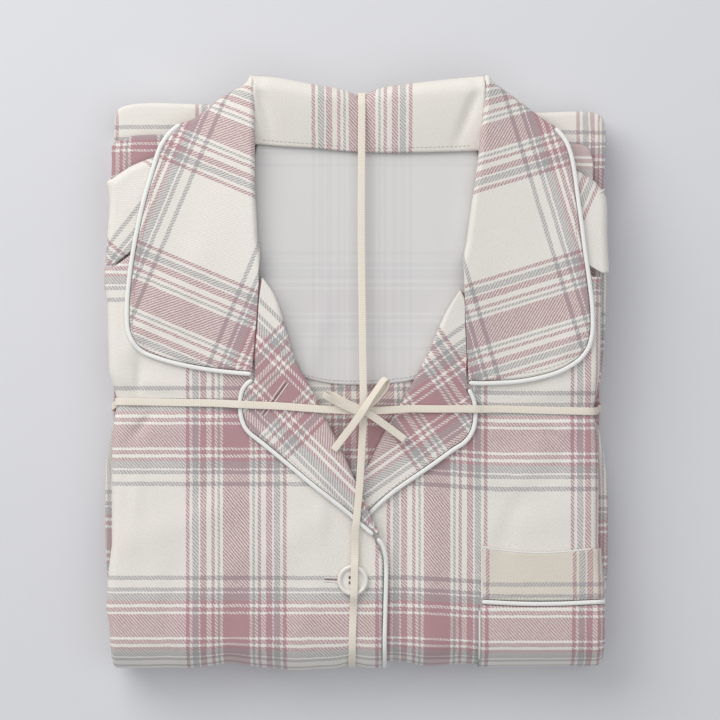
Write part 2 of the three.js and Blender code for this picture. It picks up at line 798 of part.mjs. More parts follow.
const facingTop = (x, y) => backTop(x, y) + PLY_GAP + FACING_WALL;

function backInside() {
  const [inner, outer] = [curve(BACK_LEFT), curve(BACK_RIGHT)];
  const first = line(inner.at(0), outer.at(0));
  const last = line(inner.at(1), outer.at(1));
  return laidRows({
    inner, outer, first, last, us: steps(0, 1, 7), vs: steps(0, 1, 8), height: backTop,
  });
}

function neckFacing() {
  const [inner, outer] = [curve(FACING_LEFT), curve(FACING_RIGHT)];
  const seam = NECK_SEAM.slice(1, -1).map(({ x, y }) => ({ x, y: y - 2 }));
  const first = curve([inner.at(0), ...seam, outer.at(0)]);
  const last = curve(FACING_HEM);
  return laidRows({
    inner, outer, first, last, us: steps(0, 1, 12), vs: steps(0, 1, 7), height: facingTop,
  });
}
add("back_inside", wall(backInside(), BACK_WALL), CLOTH);
add("neck_facing", wall(neckFacing(), FACING_WALL), WHITE_CLOTH);

// Shoulders: the back brought over the shoulder, its top fold and its side turned down
const SHOULDER_LEFT = {
  fold: [
    { x: -64.5, y: 126.5 },
    { x: -98, y: 123.8 },
    { x: -114, y: 121.6 },
    { x: -128, y: 116.8 },
    { x: -140.2, y: 109.6 },
  ],
  side: [
    { x: -140.2, y: 109.6 },
    { x: -139.4, y: 98 },
    { x: -139.8, y: 86 },
    { x: -141.8, y: 61.6 },
  ],
  seam: [
    { x: -64.5, y: 113.2 },
    { x: -90, y: 94.8 },
    { x: -126.3, y: 68.4 },
    { x: -141.8, y: 61.6 },
  ],
};
const SHOULDER_RIGHT = {
  fold: [
    { x: 76, y: 124 },
    { x: 105, y: 121 },
    { x: 121, y: 116 },
    { x: 134, y: 109.4 },
    { x: 139.6, y: 104 },
  ],
  side: [
    { x: 139.6, y: 104 },
    { x: 141, y: 97 },
    { x: 141.6, y: 75 },
    { x: 142.6, y: 55.8 },
  ],
  seam: [
    { x: 76, y: 107.6 },
    { x: 95, y: 88 },
    { x: 125, y: 63.8 },
    { x: 142.6, y: 55.8 },
  ],
};
function shoulder({ fold, side, seam }) {
  const radius = () => SHOULDER_DROP;
  const inset = Math.sign(fold[0].x) * SHOULDER_DROP;
  const pulled = (p) => ({ x: p.x - inset, y: p.y });
  const lowered = (p, share) => ({ x: lerp(p.x, p.x - inset, share), y: p.y - SHOULDER_DROP });
  const count = fold.length - 1;
  const first = curve([...fold.map((p, i) => lowered(p, i / count))].reverse());
  const last = curve([...seam.slice(0, -1), pulled(seam[seam.length - 1])].reverse());
  const inner = curve([first.at(0), ...side.slice(1).map(pulled)]);
  const outer = line(first.at(1), last.at(1));
  const beside = turnedEdge(radius, [30, 60, 88]);
  const before = turnedEdge(radius, [30, 60, 88]);
  return laidRows({
    inner, outer, first, last, us: steps(0, 1, 8), vs: steps(0, 1, 5), height: frontTop, beside, before,
  });
}
add("shoulder_left", wall(shoulder(SHOULDER_LEFT), FRONT_WALL), CLOTH);
add("shoulder_right", wall(shoulder(SHOULDER_RIGHT), FRONT_WALL), CLOTH);

// Collar leaves: from the roll line and gorge seam out to the piped edge; the top edge turns under
const LEAF_LEFT = {
  side: "left",
  roll: [
    { x: -57.1, y: 166.8 },
    { x: -57.1, y: 125 },
    { x: -56.8, y: 100 },
    { x: -55.6, y: 79 },
    { x: -54.6, y: 60 },
    { x: -54.8, y: 50 },
    { x: -55.4, y: 38 },
    { x: -56.4, y: 26 },
    { x: -57.8, y: 9 },
    { x: -58.6, y: 0.6 },
  ],
  top: [
    { x: -65.5, y: 160.9 },
    { x: -75.7, y: 154.7 },
    { x: -85.2, y: 147.4 },
    { x: -93.7, y: 142 },
  ],
  piped: [
    { x: -99.4, y: 139.3 },
    { x: -105.3, y: 134.2 },
    { x: -110.5, y: 126 },
    { x: -113.8, y: 116 },
    { x: -118, y: 102 },
    { x: -122, y: 86 },
    { x: -125.4, y: 68.6 },
    { x: -127.8, y: 52 },
    { x: -129, y: 36 },
    { x: -128.5, y: 24 },
    { x: -126, y: 17.2 },
    { x: -121.2, y: 12 },
    { x: -113.3, y: 8.4 },
    { x: -102, y: 5 },
    { x: -89, y: 2.3 },
    { x: -76, y: 0.4 },
    { x: -59, y: -1.2 },
  ],
  corner: 0.63,
};
const LEAF_RIGHT = {
  side: "right",
  roll: [
    { x: 71.7, y: 167.2 },
    { x: 71.2, y: 148 },
    { x: 69.4, y: 130 },
    { x: 66.6, y: 108 },
    { x: 62.9, y: 82 },
    { x: 60.4, y: 62 },
    { x: 60.4, y: 50 },
    { x: 61, y: 34 },
    { x: 61.8, y: 16 },
    { x: 63, y: -4.4 },
  ],
  top: [
    { x: 79, y: 162.4 },
    { x: 88.6, y: 154.7 },
    { x: 98.2, y: 147.9 },
    { x: 106.6, y: 141.8 },
  ],
  piped: [
    { x: 112, y: 137 },
    { x: 116.8, y: 131.4 },
    { x: 120.2, y: 123.6 },
    { x: 122.4, y: 113 },
    { x: 124.2, y: 100 },
    { x: 126.4, y: 84 },
    { x: 128.6, y: 67 },
    { x: 131, y: 50 },
    { x: 132.6, y: 34 },
    { x: 132.2, y: 20 },
    { x: 129.2, y: 11.4 },
    { x: 124, y: 6 },
    { x: 114.5, y: 0.4 },
    { x: 104.5, y: -2.8 },
    { x: 92, y: -5.2 },
    { x: 78, y: -6.2 },
    { x: 63.4, y: -6.4 },
  ],
  corner: 0.64,
};
const LEAF_TOP_RADIUS = { atPeak: 7.4, atEnd: 2.6 };
const GORGE_SHARE = 0.66; // where the leaf's inner edge changes from roll line to gorge seam
const DROOP = 0.006; // the leaf sinks this much by the square of its reach past the shoulder
const SHOULDER_LINE_Y = 118;

function leafTop(side, x, y) {
  const past = Math.max(y - SHOULDER_LINE_Y, 0) ** 2;
  const free = 1 - tent(side, x, y) / TENT_HEIGHTS[0][side];
  return frontTop(x, y) + PLY_GAP + COLLAR_WALL + tent(side, x, y) - DROOP * past * free;
}

function collarLeaf({ side, roll, top, piped, corner }) {
  const sign = side === "left" ? -1 : 1;
  const edgeRadius = (v) => lerp(ROLL_EDGE_RADIUS + 0.4, 0.4, smooth(GORGE_SHARE - 0.1, GORGE_SHARE, v));
  const topRadius = (u) => lerp(LEAF_TOP_RADIUS.atPeak, LEAF_TOP_RADIUS.atEnd, u ** 0.6);
  const silhouette = curve(roll);
  const free = moved(silhouette, (v) => sign * edgeRadius(v));
  const rim = moved(curve(piped), () => -sign * (PIPING_RADIUS + PIPING_GAP));
  const start = { x: free.at(0).x, y: free.at(0).y - LEAF_TOP_RADIUS.atPeak };
  const inner = curve([start, ...steps(0.12, 1, 14).map((t) => free.at(t))]);
  const outer = part(rim, 0, corner);
  const back = part(rim, corner, 1);
  const end = inner.at(1);
  const lastRow = steps(0, 0.94, 12).map((t) => back.at(t));
  const last = curve([...lastRow, end].reverse());
  const lowered = top.map(({ x, y }, i) => {
    const radius = topRadius((i + 1) / (top.length + 1));
    return { x: x + sign * -0.5 * radius, y: y - 0.87 * radius };
  });
  const first = curve([inner.at(0), ...lowered, outer.at(0)]);
  const skirt = (v, z) => {
    const floor = facingTop(0, lerp(150, 0, v)) + 0.6;
    const depth = lerp(Math.max(z - floor, 2), 0.5, smooth(GORGE_SHARE - 0.08, GORGE_SHARE, v));
    return depth;
  };
  const beside = turnedEdge(edgeRadius, [30, 60], { below: skirt });
  const runBack = (u) => 1 + 14 * u * (1 - u);
  const upward = new THREE.Vector3(0, 1, 0);
  const heading = (u, outward) => upward.clone().lerp(outward, smooth(0.05, 0.4, u)).normalize();
  const before = turnedEdge(topRadius, [40, 80, 120, 175], { runs: [runBack] });
  const height = (x, y) => leafTop(side, x, y);
  const vs = [...steps(0, 0.85, 11), 0.9, 0.95, 1];
  const us = [...steps(0, 0.78, 5), 0.86, 0.93, 1];
  const rows = laidRows({ inner, outer, first, last, us, vs, height, beside, before, heading });
  const edge = rows.slice(before.length).map((row) => row[row.length - 1]);
  const lower = rows[rows.length - 1].slice(beside.length, -1).reverse();
  return { rows, rim: [...edge, ...lower], middle: rows[rows.length >> 1][rows[0].length >> 1] };
}
for (const leaf of [LEAF_LEFT, LEAF_RIGHT]) {
  const { rows, rim, middle } = collarLeaf(leaf);
  add("collar_" + leaf.side, wall(rows, COLLAR_WALL), CLOTH);
  const route = pipingLine(rim, COLLAR_WALL, middle);
  add("piping_collar_" + leaf.side, tube(route, PIPING_RADIUS, 34), PIPING_WHITE);
}

// Back collar: from the neck seam up to its roll, round it, and the fall back under
const BACK_ROLL = [
  { x: -56.2, y: 167.2, top: 46 },
  { x: -48, y: 166.4, top: 45.6 },
  { x: -31, y: 163.1, top: 44.6 },
  { x: -14, y: 160.3, top: 43.2 },
  { x: -5.3, y: 158, top: 42 },
  { x: -0.3, y: 155.6, top: 41 },
  { x: 3.4, y: 155.2, top: 40.8 },
  { x: 8, y: 157, top: 41.6 },
  { x: 13, y: 159.6, top: 43 },
  { x: 32, y: 162.6, top: 44.6 },
  { x: 59, y: 165.6, top: 45.8 },
  { x: 70.6, y: 167, top: 46 },
];
function collarBack() {
  const edge = curve(BACK_ROLL);
  const rollTop = (x) => lookUp(BACK_ROLL, "x", "top", x);
  const radius = (t) => (rollTop(edge.at(t).x) - FALL_Z) / 2;
  const first = curve(steps(0, 1, 24).map((t) => ({ x: edge.at(t).x, y: edge.at(t).y - radius(t) })));
  const last = curve(NECK_SEAM);
  const inner = line(first.at(0), last.at(0));
  const outer = line(first.at(1), last.at(1));
  const height = (x, y, u, v) => lerp(rollTop(x), SEAM_Z + crown(x, y), v ** 1.4);
  const before = turnedEdge(radius, [40, 80, 120, 155, 180], { runs: [() => 20] });
  const us = [...steps(0, 0.4, 6), ...steps(0.44, 0.54, 4), ...steps(0.6, 1, 6)];
  return laidRows({ inner, outer, first, last, us, vs: steps(0, 1, 4), height, before });
}
add("collar_back", wall(collarBack(), COLLAR_WALL, [8, 4]), CLOTH);

// Lapels: from the gorge seam and roll edge out to the piped edge
const LAPEL_LEFT = {
  side: "left",
  gorge: [
    { x: -54, y: 41 },
    { x: -55, y: 27 },
    { x: -56.4, y: 10 },
  ],
  roll: [...ROLL_LEFT.slice(5, -1), { x: 12.9, y: -91 }],
  piped: [
    { x: -58.4, y: -4.4 },
    { x: -62.4, y: -7.4 },
    { x: -64.8, y: -12.4 },
    { x: -65.4, y: -18 },
    { x: -64.6, y: -26 },
    { x: -61.6, y: -32.6 },
    { x: -54, y: -39 },
    { x: -45, y: -46.3 },
    { x: -26, y: -62.2 },
    { x: -6.5, y: -77.6 },
    { x: 4.8, y: -87.4 },
    { x: 9.4, y: -91.3 },
  ],
  dips: false,
};
const LAPEL_RIGHT = {
  side: "right",
  gorge: [
    { x: 59.9, y: 41 },
    { x: 60.4, y: 27 },
    { x: 61.2, y: 10 },
  ],
  roll: ROLL_RIGHT.slice(6),
  piped: [
    { x: 63, y: -9.6 },
    { x: 65.6, y: -15 },
    { x: 66.8, y: -23.6 },
    { x: 65.4, y: -32.6 },
    { x: 61, y: -39.2 },
    { x: 54.6, y: -43.4 },
    { x: 41, y: -53.2 },
    { x: 20.6, y: -67.6 },
    { x: 12.4, y: -74.6 },
    { x: 6.6, y: -80.4 },
  ],
  dips: true,
};
const NOTCH_SHARE = 0.1; // the share of the piped edge that is the lapel's notch
function lapel({ side, gorge, roll, piped, dips }) {
  const sign = side === "left" ? -1 : 1;
  const radius = (v) => ROLL_EDGE_RADIUS * smooth(-0.05, 0.18, v) * lerp(1, 0.4, smooth(0.75, 1, v));
  const silhouette = curve(roll);
  const inner = moved(silhouette, (v) => sign * radius(v));
  const rim = moved(curve(piped), () => -sign * (PIPING_RADIUS + PIPING_GAP));
  const outer = part(rim, NOTCH_SHARE, 1);
  const notch = steps(0.2, 1, 4).map((t) => rim.at(t * NOTCH_SHARE));
  const seam = curve([inner.at(0), ...gorge, rim.at(0)]);
  const first = curve([inner.at(0), ...gorge, rim.at(0), ...notch]);
  const bend = seam.length / first.length;
  const last = line(inner.at(1), rim.at(1));
  const height = (x, y) => {
    const dip = dips ? overlapDip(x) : 0;
    return frontTop(x, y) - dip + PLY_GAP + LAPEL_WALL + tent(side, x, y);
  };
  const skirt = (v, z) => {
    const p = inner.at(v);
    const floor = lerp(facingTop(p.x, p.y) + 0.6, z - LAPEL_WALL - 0.4, smooth(0.55, 0.75, v));
    return Math.max(z - floor, radius(v) * 1.2);
  };
  const beside = turnedEdge(radius, [30, 60], { below: skirt });
  const us = [0, 0.2, 0.4, 0.6, bend, bend / 2 + 0.5, 1];
  const vs = steps(0, 1, 14);
  const rows = laidRows({ inner, outer, first, last, us, vs, height, beside });
  const edge = rows.slice(1).map((row) => row[row.length - 1]);
  return { rows, rim: [...rows[0].slice(-3), ...edge], middle: rows[7][6] };
}
for (const piece of [LAPEL_LEFT, LAPEL_RIGHT]) {
  const { rows, rim, middle } = lapel(piece);
  add("lapel_" + piece.side, wall(rows, LAPEL_WALL), CLOTH_PINK);
  const route = pipingLine(rim, LAPEL_WALL, middle);
  add("piping_lapel_" + piece.side, tube(route, PIPING_RADIUS, 26), PIPING_WHITE);
}

// Front edge piping: from the lapel's end down the left front's edge, round the roll to the hem
const FRONT_PIPING_START = [
  { x: 11.9, y: -93.5, z: 42.1 },
  { x: 14.6, y: -97.2, z: 41.5 },
  { x: 16.3, y: -103, z: 40.6 },
];
function frontPiping() {
  const rim = leftRows.map((row) => row[0]).filter((p) => p.y < -108 || p.z < ROLL_RADIUS);
  const out = PIPING_RADIUS + PIPING_GAP;
  const along = rim.map((p) => {
    const round = Math.atan2(ROLL_Y - p.y, p.z - ROLL_RADIUS);
    const angle = p.y < ROLL_Y ? round : p.z > ROLL_RADIUS ? 0 : Math.PI;
    const inset = p.z > ROLL_RADIUS ? FRONT_WALL / 2 : PIPING_RADIUS + 0.1;
    return new THREE.Vector3(p.x + out, p.y + inset * Math.sin(angle), p.z - inset * Math.cos(angle));
  });
  const start = FRONT_PIPING_START.map(({ x, y, z }) => new THREE.Vector3(x, y, z));
  const points = [...start, ...along];
  return points.flatMap((p, i) => {
    const next = points[Math.min(i + 1, points.length - 1)];
    const count = Math.max(Math.ceil(p.distanceTo(next) / 12), 1);
    return steps(0, 1, count).slice(0, -1).map((t) => p.clone().lerp(next, t));
  });
}
add("piping_front", tube(frontPiping(), PIPING_RADIUS, 44), PIPING_WHITE);

// Pocket and its band lie on the right front: the front's own points, moved out
const POCKET_LIFT = 1.6; // their outer face above the front's
const POCKET_WALL = 1.1;
const POCKET_INNER_X = 69.2;
const BAND_INNER_X = 70.6;
const BAND_TOP_Y = -98.6;
const BAND_END_Y = -128.4;
const POCKET_START_Y = -131.9;
const POCKET_CURL = [25, 50, 75].map(THREE.MathUtils.degToRad);

function pocketRows(innerX, fromY, toY, count, angles) {
  const front = { ...FRONT_RIGHT, outerY: fromY, inner: [{ x: innerX, y: fromY }, { x: innerX, y: toY }] };
  const edgeX = (y) => lookUp(front.edge, "y", "x", y) - depthOfSideFold(y, 0) / 2;
  const columns = steps(0, 1, 6);
  const point = (x, y, away, sink, angle) => {
    const bump = (frontTop(x, Math.max(y, ROLL_Y)) - STACK_HEIGHT) * Math.cos(angle / 2) ** 2;
    const radius = ROLL_RADIUS + bump - sink + POCKET_LIFT;
    if (angle === 0) return new THREE.Vector3(x + away, y, ROLL_RADIUS + radius);
    const reach = lookUp(ROLL_WAVES, "x", "reach", x);
    const out = (radius + reach) * Math.sin(angle);
    return new THREE.Vector3(x + away, ROLL_Y - out, ROLL_RADIUS + radius * Math.cos(angle));
  };
  const row = (y, angle) => {
    const half = depthOfSideFold(y, angle) / 2;
    const outX = lerp(edgeX(y), FRONT_RIGHT.underEdge, (angle / Math.PI) ** 2);
    const flat = columns.map((u) => point(lerp(innerX, outX, u), y, 0, 0, angle));
    const curl = POCKET_CURL.map((phi) => {
      const away = (half + POCKET_LIFT) * Math.sin(phi);
      return point(outX, y, away, (half + POCKET_LIFT) * (1 - Math.cos(phi)), angle);
    });
    return [...flat, ...curl];
  };
  return [...steps(fromY, toY, count).map((y) => row(y, 0)), ...angles.map((angle) => row(toY, angle))];
}
const bandRows = pocketRows(BAND_INNER_X, BAND_TOP_Y, BAND_END_Y, 5, []);
const pocketPanel = pocketRows(POCKET_INNER_X, POCKET_START_Y, ROLL_Y, 3, ROLL_ANGLES.slice(0, 6));
add("pocket", wall(pocketPanel, POCKET_WALL), CLOTH);
add("pocket_band", wall(bandRows, POCKET_WALL), CLOTH);
const bandRim = bandRows[bandRows.length - 1];
const bandPiping = bandRim.map((p) => new THREE.Vector3(p.x, p.y - 1.75, p.z - POCKET_WALL / 2 + PIPING_RISE));
add("piping_pocket", tube(bandPiping, PIPING_RADIUS, 16), PIPING_WHITE);

// Button: turned, with a raised rim and four holes
const BUTTON = { x: -2, y: -117, radius: 8.5, height: 3, rim: 1.9, dish: 0.9, hole: 0.9, spread: 1.9 };
function button() {
  const { radius, height, rim, dish, hole, spread } = BUTTON;
  const profile = [
    [0, 0],
    [radius - 1.6, 0],
    [radius - 0.3, 1],
    [radius, 1.9],
    [radius - 0.5, 2.7],
    [radius - 1.1, height],
    [radius - rim, height - 0.3],
    [radius - rim - 1.2, height - dish],
    [0, height - dish],
  ].map(([x, y]) => new THREE.Vector2(x, y));
  const turned = new THREE.LatheGeometry(profile, 24).rotateX(Math.PI / 2);
  let solid = solidOf(turned);
  for (const [x, y] of [[-1, -1], [1, -1], [1, 1], [-1, 1]]) {
    const drill = new THREE.CylinderGeometry(hole, hole, 3 * height, 10).rotateX(Math.PI / 2);
    drill.translate((x * spread) / Math.SQRT2, (y * spread) / Math.SQRT2, 0);
    solid = solid.subtract(solidOf(drill));
  }
  return geometryOf(solid);
}
function solidOf(geometry) {
  const merged = joined(geometry);
  const triVerts = new Uint32Array(merged.index.array);
  const vertProperties = merged.getAttribute("position").array;
  return new wasm.Manifold(new wasm.Mesh({ numProp: 3, vertProperties, triVerts }));
}
function geometryOf(solid) {
  const mesh = solid.getMesh();
  return closed([...mesh.vertProperties], [...mesh.triVerts]);
}
const buttonMesh = add("button", button(), BUTTON_WHITE, 0.35);
buttonMesh.position.set(BUTTON.x, BUTTON.y, frontTop(BUTTON.x, BUTTON.y) + PLY_GAP);

// Tape: from the knot down over the lapels and the button, round the roll, along the underside,
// up behind the collar and back to the knot; and from the knot across, under and back
const TAPE_DOWN_PATH = [
  { x: 4, y: -22.3, z: 45.75 },
  { x: 3.1, y: -40, z: 45.1 },
  { x: 1.7, y: -64, z: 44.2 },
  { x: 0.6, y: -76, z: 44 },
  { x: -0.2, y: -85, z: 44 },
  { x: -0.75, y: -91, z: 42.9 },
  { x: -0.8, y: -98, z: 41.8 },
  { x: -0.9, y: -104, z: 42 },
  { x: -1, y: -108.4, z: 43 },
  { x: -1.2, y: -117, z: 43.15 },
  { x: -1.5, y: -125.7, z: 43 },
  { x: -1.7, y: -131, z: 40.6 },
  { x: -1.9, y: -137, z: 39.4 },
  { x: -2.3, y: -149, z: 39.2 },
  { x: -2.4, y: -157.3, z: 37.2 },
  { x: -2.5, y: -164, z: 31.6 },
  { x: -2.6, y: -167.6, z: 23.5 },
  { x: -2.6, y: -167.5, z: 14.4 },
  { x: -2.5, y: -163.8, z: 6.4 },
  { x: -2.5, y: -157, z: 1 },
  { x: -2.5, y: -146, z: 0.475 },
  { x: -2.5, y: -90, z: 0.475 },
  { x: -2.5, y: -30, z: 0.475 },
  { x: -2.5, y: -26.7, z: 0.475 },
  { x: -2.5, y: -23.8, z: 1.17 },
  { x: -2.5, y: -17.2, z: 1.17 },
  { x: -2.5, y: -14.3, z: 0.475 },
  { x: -2.5, y: 60, z: 0.475 },
  { x: -2, y: 136, z: 0.475 },
  { x: -0.5, y: 141, z: 1.4 },
  { x: 1.5, y: 147.5, z: 5.2 },
  { x: 2.2, y: 150.2, z: 9 },
  { x: 2.8, y: 150.4, z: 20 },
  { x: 3, y: 150.8, z: 26 },
  { x: 3, y: 153.6, z: 29.2 },
  { x: 3, y: 156.6, z: 32.2 },
  { x: 3, y: 157.2, z: 36 },
  { x: 3, y: 156, z: 39 },
  { x: 3, y: 153.6, z: 40.6 },
  { x: 3, y: 150.8, z: 41.7 },
  { x: 3, y: 147.5, z: 41.95 },
  { x: 2.9, y: 124, z: 42.4 },
  { x: 2.8, y: 74, z: 43.5 },
  { x: 3.7, y: 0, z: 45.3 },
  { x: 4, y: -21.6, z: 45.75 },
];
const TAPE_ACROSS_PATH = [
  { x: 3.6, y: -22, z: 46.4 },
  { x: -8, y: -21.3, z: 46.4 },
  { x: -21, y: -20.7, z: 46.3 },
  { x: -28, y: -20.2, z: 46 },
  { x: -40, y: -19.3, z: 45.1 },
  { x: -52, y: -18.7, z: 44.1 },
  { x: -60, y: -18.4, z: 43.8 },
  { x: -66, y: -18.1, z: 43.7 },
  { x: -70.5, y: -17.9, z: 42.4 },
  { x: -80, y: -17.5, z: 40.8 },
  { x: -100, y: -17.2, z: 39.4 },
  { x: -116, y: -16.9, z: 38.2 },
  { x: -128, y: -16.7, z: 37.6 },
  { x: -132.6, y: -16.7, z: 37 },
  { x: -135.3, y: -16.8, z: 35.5 },
  { x: -136.2, y: -17, z: 32.2 },
  { x: -135.8, y: -17.4, z: 27 },
  { x: -136.8, y: -18, z: 18 },
  { x: -138.6, y: -19, z: 10 },
  { x: -140.6, y: -20.2, z: 6 },
  { x: -140.6, y: -20.5, z: 3.4 },
  { x: -139.6, y: -20.5, z: 1.3 },
  { x: -137, y: -20.5, z: 0.475 },
  { x: 0, y: -20.5, z: 0.475 },
  { x: 137, y: -20.5, z: 0.475 },
  { x: 139.6, y: -20.5, z: 1.3 },
  { x: 140.6, y: -20.5, z: 3.4 },
  { x: 140.6, y: -20.7, z: 6 },
  { x: 139, y: -21, z: 10 },
  { x: 137.6, y: -21.4, z: 18 },
  { x: 137, y: -21.8, z: 26 },
  { x: 135.4, y: -22, z: 32.4 },
  { x: 134, y: -22.2, z: 35.6 },
  { x: 131.4, y: -22.2, z: 37.1 },
  { x: 128, y: -22.1, z: 37.8 },
  { x: 120, y: -21.9, z: 38.4 },
  { x: 100, y: -21.4, z: 39.3 },
  { x: 80, y: -20.8, z: 40.6 },
  { x: 71.5, y: -20.8, z: 42.2 },
  { x: 67, y: -20.8, z: 43.7 },
  { x: 60, y: -20.7, z: 43.9 },
  { x: 44, y: -20.7, z: 44.7 },
  { x: 30, y: -20.6, z: 45.3 },
  { x: 16, y: -21.4, z: 46 },
  { x: 4.3, y: -22, z: 46.4 },
];
const pointsOf = (table) => table.map(({ x, y, z }) => new THREE.Vector3(x, y, z));
add("tape_down", ribbon(pointsOf(TAPE_DOWN_PATH), new THREE.Vector3(1, 0, 0)), TAPE_CREAM);
add("tape_across", ribbon(pointsOf(TAPE_ACROSS_PATH), new THREE.Vector3(0, 1, 0)), TAPE_CREAM);

// Bow: the right loop's upper ply runs over the knot into the left tail, and the left loop's
// lower ply runs under it into the right tail; tilt is how far the width's far edge stands up
const LOOP_RIGHT = [
  { x: -12.9, y: -43.8, z: 46.1, tilt: 0 },
  { x: -8.5, y: -38, z: 47.2, tilt: 0 },
  { x: -2.6, y: -30.3, z: 49, tilt: 0.1 },
  { x: 2.2, y: -23.6, z: 50.6, tilt: 0.2 },
  { x: 5, y: -19.2, z: 51 },
  { x: 9, y: -12.5, z: 51.8 },
  { x: 13, y: -6, z: 52.2 },
  { x: 15.6, y: -2.4, z: 51.8 },
  { x: 17.2, y: -1, z: 50.2 },
  { x: 17.4, y: -2.4, z: 48.6 },
  { x: 15, y: -6.8, z: 48 },
  { x: 11.4, y: -12, z: 48 },
  { x: 7.6, y: -17.4, z: 48.6 },
];
const LOOP_LEFT = [
  { x: 0.4, y: -20.6, z: 49.4 },
  { x: -5, y: -17.6, z: 50 },
  { x: -11, y: -14.2, z: 50.6 },
  { x: -15.2, y: -11.8, z: 50.4 },
  { x: -17.2, y: -10, z: 49.2 },
  { x: -15.8, y: -9.6, z: 47.9 },
  { x: -11, y: -11.6, z: 47.5 },
  { x: -5, y: -15.2, z: 47.4 },
  { x: -0.6, y: -18, z: 47.4 },
];
const TAIL_RIGHT = [
  { x: 8.4, y: -24.2, z: 47.6 },
  { x: 13, y: -27.4, z: 47.2 },
  { x: 20, y: -32.6, z: 45.6 },
  { x: 27.3, y: -38, z: 44.6 },
];
function bowStrip(table, count, across) {
  const path = new THREE.CatmullRomCurve3(pointsOf(table), false, "centripetal");
  return ribbon(path.getSpacedPoints(count), across);
}
add("tape_loop_right", bowStrip(LOOP_RIGHT, 26, new THREE.Vector3(0.8, -0.5, 0.3)), TAPE_CREAM);
add("tape_loop_left", bowStrip(LOOP_LEFT, 18, new THREE.Vector3(0.45, 0.8, 0.4)), TAPE_CREAM);
add("tape_tail_right", bowStrip(TAIL_RIGHT, 6, new THREE.Vector3(0.5, 0.86, 0)), TAPE_CREAM);

// Knot: a rounded wrap of the tape where the runs cross
const KNOT = { x: 4.4, y: -21.6, bottom: 46.9, top: 49.9, halfLength: 3, halfWidth: 2.3, turn: 0.95 };
function knot() {
  const ring = (z, scale) =>
    steps(0, 1, 14).slice(0, -1).map((t) => {
      const a = t * 2 * Math.PI;
      const power = (value) => Math.sign(value) * Math.abs(value) ** 0.7;
      const [u, v] = [KNOT.halfLength * scale * power(Math.cos(a)), KNOT.halfWidth * scale * power(Math.sin(a))];
      const [c, s] = [Math.cos(KNOT.turn), Math.sin(KNOT.turn)];
      return new THREE.Vector3(KNOT.x + u * c - v * s, KNOT.y + u * s + v * c, z);
    });
  const height = KNOT.top - KNOT.bottom;
  return ringStack([
    ring(KNOT.bottom, 0.75), ring(KNOT.bottom + 0.25 * height, 0.97), ring(KNOT.bottom + 0.5 * height, 1),
    ring(KNOT.bottom + 0.78 * height, 0.93), ring(KNOT.top, 0.66),
  ]);
}
add("tape_knot", knot(), TAPE_CREAM);

group.updateMatrixWorld(true);
export default group;
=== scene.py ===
import math
import bpy
import numpy as np
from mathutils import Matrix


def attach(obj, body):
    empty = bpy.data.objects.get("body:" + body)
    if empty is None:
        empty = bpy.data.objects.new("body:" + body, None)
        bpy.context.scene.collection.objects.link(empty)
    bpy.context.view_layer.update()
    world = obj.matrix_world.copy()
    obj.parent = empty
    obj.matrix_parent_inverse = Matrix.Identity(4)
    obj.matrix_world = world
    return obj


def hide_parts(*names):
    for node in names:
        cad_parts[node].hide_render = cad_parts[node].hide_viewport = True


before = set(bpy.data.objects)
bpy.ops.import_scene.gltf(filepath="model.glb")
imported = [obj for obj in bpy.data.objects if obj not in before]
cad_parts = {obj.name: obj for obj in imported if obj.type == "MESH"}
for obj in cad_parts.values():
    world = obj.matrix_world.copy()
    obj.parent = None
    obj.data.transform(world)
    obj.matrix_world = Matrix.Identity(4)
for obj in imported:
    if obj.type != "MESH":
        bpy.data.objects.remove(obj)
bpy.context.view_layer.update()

# Folded pyjama set: tables and sizes are in millimetres, meshes in metres.
# X runs across the shirt, Y towards the collar, Z up, origin in the middle of the underside.
mm = 0.001
sett = 103.5  # one repeat of the plaid

form = {
    "height": 38.5, "crown": 2.4, "halfWidth": 145, "halfLength": 170, "plyGap": 0.4,
    "rollY": -149, "rollRadius": 19.25, "foldTop": 11, "foldUnder": 5.6, "foldReturn": 18,
    "dip": 3.8, "dipStart": 44, "dipFull": 19, "squeezeWidth": 11, "sideSqueeze": 2.6,
    "sideTapeY": -20, "channel": 0.95, "underTapeX": -2.5, "underTapeY": -20.5, "hemY": 136,
    "frontWall": 1.2, "collarWall": 1.6, "lapelWall": 1.4, "backWall": 1, "facingWall": 0.9,
    "backTop": 33.3, "seamZ": 37.1, "fallZ": 29.2, "edgeRadius": 2.4, "tentWidth": 46,
    "pipingRadius": 1.25, "pipingGap": 0.4, "pipingRise": 0.5, "shoulderDrop": 4.5,
}

# Where the tape lies on top: x, y and y, x
tapeAcross = np.array([(-136, -16.5), (-80, -17.5), (-45, -19), (-19, -20.8), (4, -22), (30, -20.6),
                       (80, -20.8), (137, -22.5)], float)
tapeDown = np.array([(-168, -3.1), (-117, -1.2), (-89, -0.6), (-61, 2), (-22, 4), (74, 2.8), (155, 3)], float)

